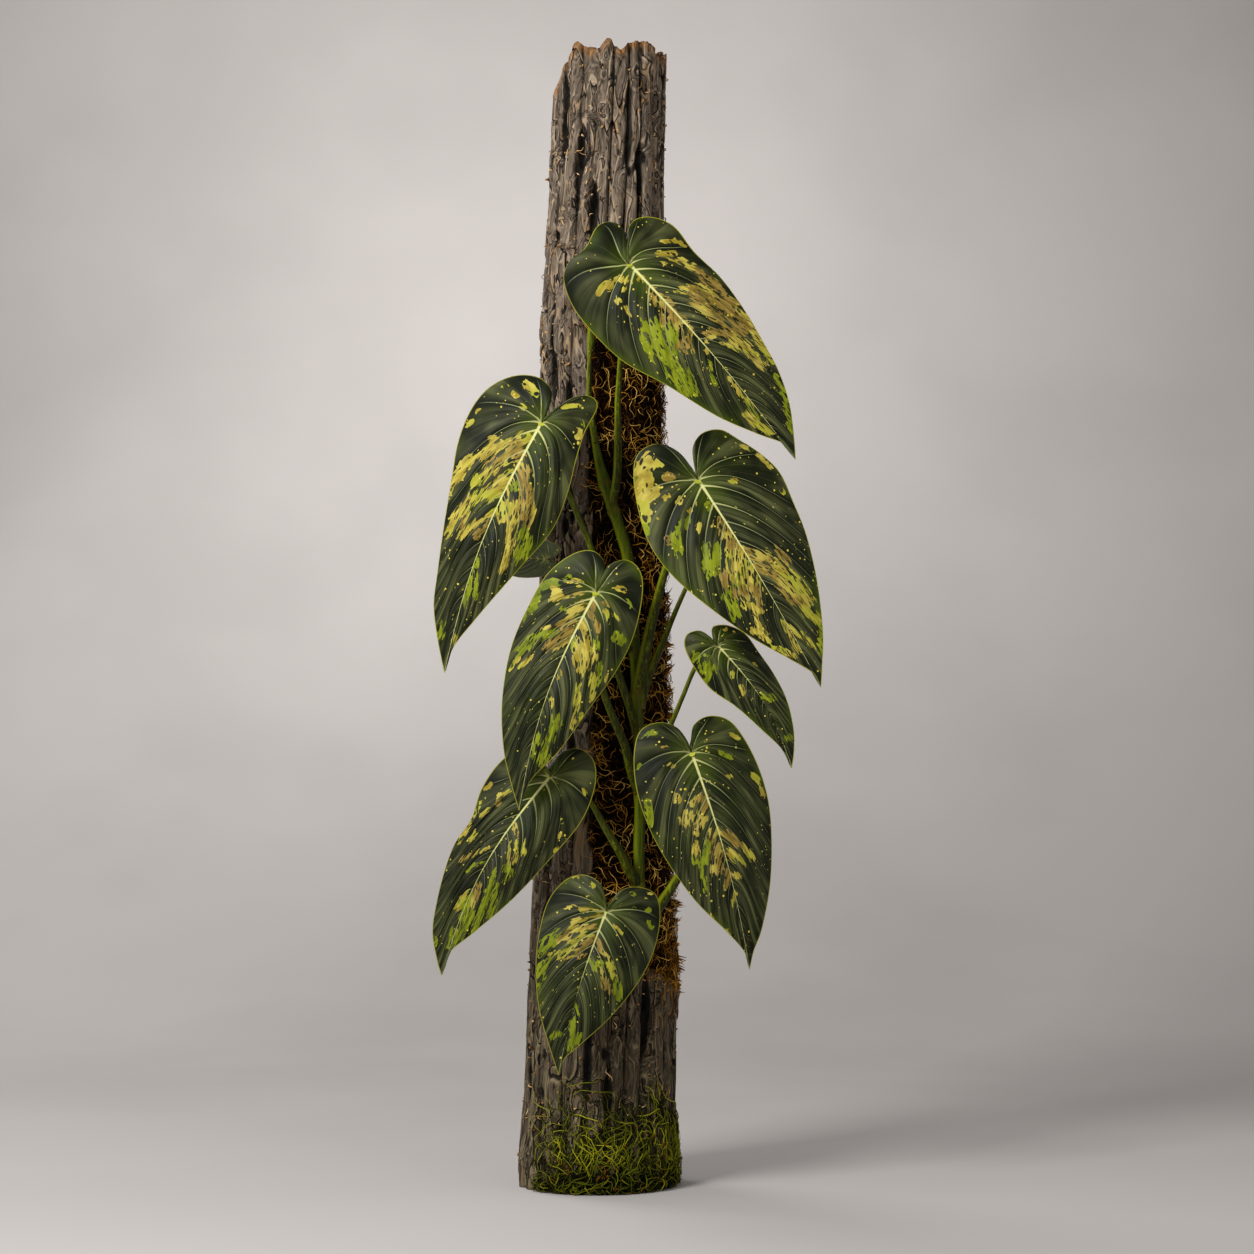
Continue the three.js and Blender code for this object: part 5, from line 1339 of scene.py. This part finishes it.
def barkNodes():
    f = finish["bark"]
    spot = here()
    squat = stretched(spot, 1, 0.6)
    # The grain's own places, with a curl of up to 10 mm here and there
    curls = place("TexNoise", {"Vector": squat, "Scale": 44.0, "Detail": 1.0}).outputs["Color"]
    curls = vectors("SCALE", {0: stretched(curls, 0.02, 0.02), "Scale": ramp(cloud(spot, 26, 1), 0.44, 0.62, 0.2, 1)})
    bent = vectors("ADD", {0: kept("grainPlace", 1), 1: curls})
    streak = fibres(stretched(bent, 420, 46), 3.1)
    hair = cloud(stretched(bent, 1500, 70), 1.0, 2)
    patch = cloud(stretched(bent, 90, 12), 1.0, 3)
    present = ramp(cloud(squat, 50, 2), 0.36, 0.52, 0.15, 1)

    # Ledges of bark that overlap: steps of a slow upright noise, each with a slope and a drop
    def ledges(across, upright, count):
        return calc("FRACT", times(cloud(stretched(bent, across, upright), 1.0, 2, 0.45), count))
    wide, narrow = ledges(80, 9, 5.2), ledges(150, 26, 3.2)
    drop = most(ramp(wide, 0.11, 0.02), ramp(wide, 0.97, 1.0))
    smallDrop = most(ramp(narrow, 0.14, 0.03), ramp(narrow, 0.96, 1.0))

    # Knots with rings round them
    far, own = cells(stretched(bent, 76, 36), 1.0, 1.0)
    knot = times(calc("GREATER_THAN", own[2], 0.52), ramp(far, 0.46, 0.3))
    rings = times(calc("SINE", times(far, 44)), knot)
    shade = fit(fit(streak, 0.75, 0.125), 1.0, fit(patch, 0.4, -0.2))
    # Each ledge is painted from dark below its drop to light at its top: painted shade
    shade = fit(rings, 0.09, plus(shade, fit(wide, 0.13, -0.06)))
    wood = colours(shade, [(0.28, f["dark"]), (0.44, f["middle"]), (0.58, f["light"]), (0.74, f["pale"])])
    wood = blend(ramp(hair, 0.46, 0.64, 0, 0.35), wood, f["dark"])

    # Painted highlights on the ledges' tops above the drops and beside the plates' creases, some of them tan, painted
    # highlights on small bumps, then painted shade in the creases, pits and gaping fissures
    plates, creviceShade = kept("plates"), kept("creviceShade")
    highlitEdges = times(ramp(wide, 0.8, 0.92), ramp(wide, 0.99, 0.94))
    highlitEdges = most(highlitEdges, times(ramp(plates, 0.03, 0.07), ramp(plates, 0.16, 0.09)))
    tanned = ramp(cloud(stretched(spot, 60, 24), 1.0, 2), 0.5, 0.62)
    wood = blend(times(highlitEdges, 0.6), wood, f["pale"])
    wood = blend(times(highlitEdges, tanned, 0.6), wood, f["tan"])
    bumps = speckles(squat, 170, 0.22, 0.3)
    # The small bumps get a painted highlight
    wood = blend(times(bumps, 0.5), wood, f["pale"])
    dots = speckles(stretched(spot, 1, 0.75), 150, 0.15, 0.22)
    wood = blend(times(dots, 0.9), wood, f["dot"])
    pores = speckles(stretched(spot, 1, 0.5), 200, 0.26, 0.34)
    # Painted shade along the plates' creases, under the ledges' drops, in the fissures, pits and pores
    lines = times(ramp(calc("ABSOLUTE", plates), 0.05, 0.012), kept("present"))
    drops = times(most(drop, times(smallDrop, 0.6)), present)
    shadedGaps = most(lines, drops, ramp(creviceShade, 0.2, 0.62), times(pores, 0.85))
    wood = blend(times(shadedGaps, 0.94), wood, f["creviceShade"])
    wood = blend(times(kept("brokenWood"), ramp(streak, 0.42, 0.56, 0.1, 0.85)), wood, f["broken"])
    # The foot gets less of the studio's light, and its blue fades first
    low = ramp(axes(spot)[2], 0.04, 0.5, 0.5, 1)
    wood = blend(1.0, wood, tint(low, low, most(fit(low, 1.2, -0.2), 0.3)), "MULTIPLY")
    relief = plus(times(wide, 1.0), times(narrow, 0.4))
    relief = plus(relief, fit(rings, 0.12, times(bumps, 0.35)))
    relief = plus(relief, times(fit(hair, 0.4, streak), 0.45))
    return {"colour": wood, "roughness": ramp(streak, 0.3, 0.7, 0.9, 0.66), "height": minus(relief, shadedGaps),
            "reach": 2.2}


def strandNodes(f):
    def build():
        spot = here()
        mottled = fit(cloud(spot, 400, 2), 0.3, plus(kept("toneAndShade"), -0.15))
        # On coir and moss the low tones are painted shade for strands that lie deep, the high ones painted highlight
        # for those lifted highest
        colour = colours(mottled, [(0.05, f["shade"]), (0.32, f["low"]), (0.62, f["high"]), (0.95, f["tip"])])
        if "brown" in f:        # dead strands, most of them low down
            odd = plus(cloud(spot, 150, 2), ramp(axes(spot)[2], 0.03, 0.004, 0, 0.06))
            colour = blend(ramp(odd, 0.66, 0.7), colour, f["brown"])
        return {"colour": colour, "roughness": ramp(kept("share"), 0, 1, 0.7, 0.82)}
    return build


# Pads are coloured in painted shade under the strands, darkest in their hollows, with fine wisps
def padNodes(f):
    def build():
        wisps = fibres(stretched(here(), 500, 260), 2.6)
        colour = colours(fit(kept("toneAndShade"), 0.4, times(wisps, 0.6)),
                         [(0.3, darker(f["shade"], 0.35)), (0.55, f["shade"]), (0.85, f["low"])])
        return {"colour": colour, "height": wisps, "reach": 1.6}
    return build


# Stem and petioles: long fibres, a painted highlight on the side towards the light and painted shade on the far one,
# darker joints and pale dots
def rodNodes(part, painted):
    f, look = finish[part], rodLooks[part]

    def build():
        spot = here()
        long = fibres(stretched(spot, *look["grain"]), 3)
        colour = painted(f, spot, long)
        dots = speckles(stretched(spot, 1, 0.7), look["dots"], 0.2, look["dotted"])
        colour = blend(times(dots, look["dotShare"]), colour, f["dot"])
        return {"colour": colour, "roughness": ramp(long, 0.3, 0.7, *look["roughness"]),
                "height": fit(dots, look["dotHeight"], long), "reach": look["reach"]}
    return build


def stemColour(f, spot, long):
    colour = blend(ramp(long, 0.34, 0.6, 0.2), f["dark"], f["light"])
    # A painted highlight on the side towards the light, painted shade on the far side
    colour = blend(ramp(kept("litSide"), 0.6, 0.95, 0, 0.6), colour, f["edge"])
    colour = blend(ramp(kept("litSide"), 0.2, -0.6, 0, 0.6), colour, f["dark"])
    colour = blend(ramp(cloud(spot, 60, 2), 0.46, 0.7, 0, 0.3), colour, f["joint"])
    return blend(times(kept("joint"), 0.55), colour, f["joint"])


def petioleColour(f, spot, long):
    share = kept("share")
    colour = blend(ramp(share, 0.05, 0.85), f["base"], f["upper"])
    colour = blend(ramp(long, 0.46, 0.66, 0, 0.5), colour, f["edge"])
    colour = blend(ramp(long, 0.5, 0.36, 0, 0.4), colour, darker(f["base"], 0.6))
    # A painted highlight on the side towards the light, painted shade on the far side
    colour = blend(ramp(kept("litSide"), 0.66, 0.98, 0, 0.5), colour, f["edge"])
    colour = blend(ramp(kept("litSide"), 0.55, -0.5, 0, 0.8), colour, f["base"])
    colour = blend(times(kept("joint"), 0.6), colour, f["joint"])
    return blend(ramp(share, 0.955, 0.985), colour, f["top"])


rodLooks = {
    "stem": {"grain": (520, 40), "dots": 330, "dotted": 0.3, "dotShare": 0.75, "dotHeight": 0.5,
             "roughness": (0.42, 0.6), "reach": 0.35},
    "petiole": {"grain": (560, 36), "dots": 380, "dotted": 0.22, "dotShare": 0.6, "dotHeight": 0.4,
                "roughness": (0.38, 0.55), "reach": 0.25},
}


# Blades. vein counts along the veins, lane does so with other numbers for each half blade; out, margin and gap are
# mm from the midrib, from the margin and from vein to vein; run is the share of the length.
def bladeNodes(under):
    def build():
        f = finish["blade"]
        vein, lane, out, gap = kept("vein"), kept("lane"), kept("fromMidrib"), kept("gap")
        margin, run = kept("fromMargin"), kept("run")
        spot = here()

        # Places along the veins: across in vein spaces, out in mm
        def laid(across, outward):
            return place("CombineXYZ", {0: times(lane, across), 1: times(out, outward), 2: 0.0}).outputs[0]
        phase = fit(cloud(laid(1, 0.03), 1.0, 1), 0.06, plus(vein, -0.03))
        offset = minus(calc("FRACT", plus(phase, 0.5)), 0.5)
        nearest = calc("ABSOLUTE", offset)
        onward = calc("DIVIDE", out, plus(plus(out, margin), 0.01))
        star = times(ramp(vein, 5.6, 4.4), ramp(out, 26, 2))       # where the veins meet
        width = times(ramp(onward, 0, 0.9, 1.0, 0.4), ramp(vein, 5, 9, 0.85, 0.5))
        limit = fit(star, 0.8, fit(gap, 0.055, 0.12))
        width = calc("MINIMUM", fit(star, 0.3, width), limit)
        veinLine = ramp(calc("DIVIDE", times(nearest, gap), width), 1.3, 0.4)
        veinLine = times(veinLine, calc("GREATER_THAN", vein, 0.4), ramp(margin, 0.5, 12))
        midrib = ramp(calc("DIVIDE", out, ramp(run, 0, 0.7, 1.55, 0.5)), 1.25, 0.6)
        if under:
            colour = blend(ramp(cloud(laid(5, 0.08), 1.0), 0.35, 0.65), darker(f["under"], 0.7), f["under"])
            raised = most(veinLine, midrib)
            return {"colour": blend(raised, colour, f["underVein"]), "height": raised, "reach": 0.6}

        # Plain leaf: dark between the veins, with painted sheen in soft bands beside them, lighter on one side of
        # each panel
        ripple = cloud(laid(7, 0.02), 1.0, 2, 0.5)
        lit = times(ramp(nearest, 0.02, 0.26), ramp(offset, -0.5, 0.5, 1.2, 0.45))
        paintedSheen = times(lit, ramp(ripple, 0.34, 0.64, 0.5, 0.95),
                      ramp(cloud(laid(1.2, 0.022), 1.0, 2), 0.38, 0.64, 0.05, 1.0))
        colour = blend(paintedSheen, f["deep"], f["paintedSheen"])
        warm = times(ramp(cloud(spot, 24, 2), 0.5, 0.64), ramp(margin, 10, 1, 0.1, 0.5))
        colour = blend(most(warm, times(star, 0.5)), colour, f["glow"])
        colour = blend(times(kept("paleness"), 0.6), colour, f["palest"])

        # Variegation: fields of crisp pieces drawn out along the veins, with dark holes in them and flecks round them
        zones = channels(kept("markings", 0))
        ragged = cloud(laid(3.0, 0.06), 1.0, 2, 0.5)
        _, chip = cells(laid(3.6, 0.13), 1.0, 1.0)
        push = plus(fit(ragged, 2.1, -1.05), fit(chip[0], 0.5, -0.25))
        solid = minus(1, most(speckles(laid(4.2, 0.2), 1.0, 0.45, 0.7), speckles(laid(6.5, 0.13), 1.0, 0.36, 0.45)))
        busy = ramp(cloud(spot, 36, 1), 0.42, 0.66, 0.03, 0.4)
        flecks = most(speckles(laid(8, 0.2), 1.0, 0.22, busy), speckles(spot, 310, 0.25, times(busy, 0.6)))
        hue = cloud(spot, 48, 1)
        mixed = fit(chip[1], 0.2, times(cloud(laid(5, 0.05), 1.0, 3), 1.3))
        for zone, near, deep, side in (
                (zones[1], "lime", "limeDeep", "lime"), (zones[0], "gold", "goldDeep", "limeGold"),
                (zones[2], "tan", "tanDeep", "gold")):
            field = plus(zone, times(push, ramp(zone, 0.0, 0.3)))
            piece = blend(ramp(mixed, 0.55, 0.95), f[deep], f[near])
            piece = blend(ramp(hue, 0.5, 0.62, 0, 0.7), piece, f[side])
            colour = blend(times(ramp(field, 0.512, 0.532), solid), colour, piece)
        colour = blend(flecks, colour, f["fleck"])

        # Veins: fine ones between the side veins, the side veins, the midrib and the margin
        small = calc("ABSOLUTE", minus(calc("FRACT", fit(phase, 3, 0.5)), 0.5))
        smallLine = ramp(times(calc("DIVIDE", small, 3), gap), 0.4, 0.05)
        colour = blend(times(smallLine, ramp(margin, 2, 16), 0.09), colour, f["vein"])
        level = axes(spot)[2]
        # The veins show less on the lower blades: painted shade
        strength = times(ramp(onward, 0.1, 0.95, 0.85, 0.5), ramp(vein, 5, 9, 0.95, 0.62),
                         ramp(level, 0.28, 0.58, 0.85, 1))
        colour = blend(times(veinLine, strength), colour, blend(star, f["vein"], f["midrib"]))
        colour = blend(midrib, colour, f["midrib"])
        colour = blend(times(kept("paleness"), times(veinLine, 0.8)), colour, f["midrib"])
        colour = blend(ramp(margin, 1.0, 0.45), colour, f["margin"])
        dim = ramp(level, 0.12, 0.5, 0.8, 1)        # the lower blades get less of the studio's light
        colour = blend(1.0, colour, tint(dim, dim, dim), "MULTIPLY")
        return {"colour": colour, "roughness": ramp(ripple, 0.3, 0.7, 0.55, 0.45),
                "height": minus(times(ripple, 0.6), times(veinLine, 0.5)), "reach": 0.5}
    return build


def makeMaterials():
    velvet = {"Sheen_Weight": 0.02, "Sheen_Roughness": 0.4, "Specular_IOR_Level": 0.11}
    matt = {"Roughness": 0.95, "Specular_IOR_Level": 0.05}
    made = {
        "bark": newMaterial("fissuredBark", barkNodes, Specular_IOR_Level=0.16),
        "chip": newMaterial("barkChips", strandNodes(finish["chip"]), Specular_IOR_Level=0.15),
        "coirPad": newMaterial("coirPadding", padNodes(finish["coir"]), **matt),
        "coirFibre": newMaterial("coirStrands", strandNodes(finish["coir"]), Specular_IOR_Level=0.15),
        "mossPad": newMaterial("mossPadding", padNodes(finish["moss"]), **matt),
        "mossStrand": newMaterial("mossStrands", strandNodes(finish["moss"]), Specular_IOR_Level=0.12),
        "stem": newMaterial("oliveStem", rodNodes("stem", stemColour), Specular_IOR_Level=0.14),
        "petiole": newMaterial("greenPetiole", rodNodes("petiole", petioleColour), Specular_IOR_Level=0.14),
        "blade": newMaterial("velvetBlade", bladeNodes(False), **velvet),
        "bladeUnder": newMaterial("bladeUnderside", bladeNodes(True), Roughness=0.6, Specular_IOR_Level=0.35),
    }
    print("materials made:", len(made))
    return made


# Stage: pale floor and wall, soft light from the upper left, and the camera of the photograph

stage = {
    "paper": rgb(173, 168, 165), "paperLitInFront": rgb(190, 185, 182),
    "world": 0.4, "roomLight": (1, 0.985, 0.965, 1),
    # power, size, place, what it points at and, for the wash on the wall, its spread in degrees
    "lamps": {
        "key": (63, 0.8, (-1.35, -1.8, 1.6), (0, 0, 0.55)),
        "wash": (4.6, 0.7, (-0.25, 0.8, 1.6), (-0.16, 2.25, 0.85), 80),
        "fill": (9, 1.6, (1.9, -2.0, 0.8), (0, 0, 0.4)),
        "rim": (16, 0.9, (-1.1, 1.2, 1.5), (0, 0, 0.6)),
    },
    "cameraPlace": (0.021, -3.0, 0.4345), "lens": 110.4, "sensor": 36,
    # The paper in metres: half its width, its front edge, its flat part, its bend, and floor, bend and wall in all
    "halfWidth": 7, "front": -7.4, "flat": 8.2, "bend": 1.5, "sheet": 16,
}


# One sheet of pale paper: floor in front, a wide bend, wall behind
def paperSheet():
    sheet = gridBlank("paperSheet", 2, 80)
    raw = readPoints(sheet)
    path = (raw[:, 1] + 1) * stage["sheet"] / 2
    bend, flat = stage["bend"], stage["flat"]
    turn = np.clip((path - flat) / bend, 0, math.pi / 2)
    beyond = np.maximum(path - flat - bend * math.pi / 2, 0)
    y = np.minimum(path, flat) + stage["front"] + bend * np.sin(turn)
    z = bend * (1 - np.cos(turn)) + beyond
    writePoints(sheet, np.column_stack([raw[:, 0] * stage["halfWidth"], y, z]) / mm)
    bpy.ops.object.shade_smooth()

    def build():
        colour = blend(ramp(cloud(here(), 2.2), 0.35, 0.65), darker(stage["paper"], 0.92), stage["paper"])
        # The paper is painted lighter towards the front: a painted pool of light on the floor
        return {"colour": blend(ramp(axes(here())[1], 0.9, -0.7), colour, stage["paperLitInFront"])}
    paper = newMaterial("palePaper", build, Roughness=0.9, Specular_IOR_Level=0.15)
    # The sheet is clear from behind, so that views of the object's back see through it
    tree = paper.node_tree
    front = minus(1, place("NewGeometry").outputs["Backfacing"])
    tree.links.new(front, tree.nodes["Principled BSDF"].inputs["Alpha"])
    sheet.data.materials.append(paper)


def putInScene(name, data, location):
    made = bpy.data.objects.new(name, data)
    made.location = location
    bpy.context.scene.collection.objects.link(made)
    return made


def areaLight(name, power, size, location, target, spread=180):
    lamp = bpy.data.lights.new(name, "AREA")
    lamp.energy, lamp.size, lamp.spread = power, size, math.radians(spread)
    towards = Vector(target) - Vector(location)
    putInScene(name, lamp, location).rotation_euler = towards.to_track_quat("-Z", "Y").to_euler()


def setTheStage():
    paperSheet()
    bpy.context.scene.view_settings.view_transform = "Standard"
    world = bpy.data.worlds.new("softRoom")
    world.use_nodes = True
    light = world.node_tree.nodes["Background"].inputs
    light[0].default_value, light[1].default_value = stage["roomLight"], stage["world"]
    bpy.context.scene.world = world
    for name, lamp in stage["lamps"].items():
        areaLight(name, *lamp)
    lens = bpy.data.cameras.new("viewer")
    lens.lens, lens.sensor_width = stage["lens"], stage["sensor"]
    viewer = putInScene("viewer", lens, stage["cameraPlace"])
    viewer.rotation_euler = (math.radians(90), 0, 0)
    bpy.context.scene.camera = viewer
    print("stage set")


# Assembly

def assemble():
    materials = makeMaterials()
    for build, slotName, material, nodes in (
            (barkPiece, "bark", "bark", ["bark_totem"]), (barkSlivers, "bark", "chip", []),
            (coirPad, "coir", "coirPad", ["coir_fibre"]), (coirFibres, "coir", "coirFibre", ["coir_fibre"]),
            (coirTufts, "coir", "coirFibre", ["coir_fibre"]), (mossCushion, "moss", "mossPad", ["moss_skirt"]),
            (mossStrands, "moss", "mossStrand", ["moss_skirt"]), (stemPiece, "stem", "stem", ["stem"]),
            (spearPiece, "petiole", "petiole", ["new_leaf_spear"])):
        dress(build(), [materials[material]], nodes)
    for name, petiole in petioles.items():
        dress(petiolePiece(name, petiole["path"], petiole["radii"]), [materials["petiole"]],
              ["petiole_" + name])
    for name, leaf in leaves.items():
        dress(bladePiece(name, leaf), [materials["blade"], materials["bladeUnder"]], ["leaf_" + name])


assemble()
setTheStage()
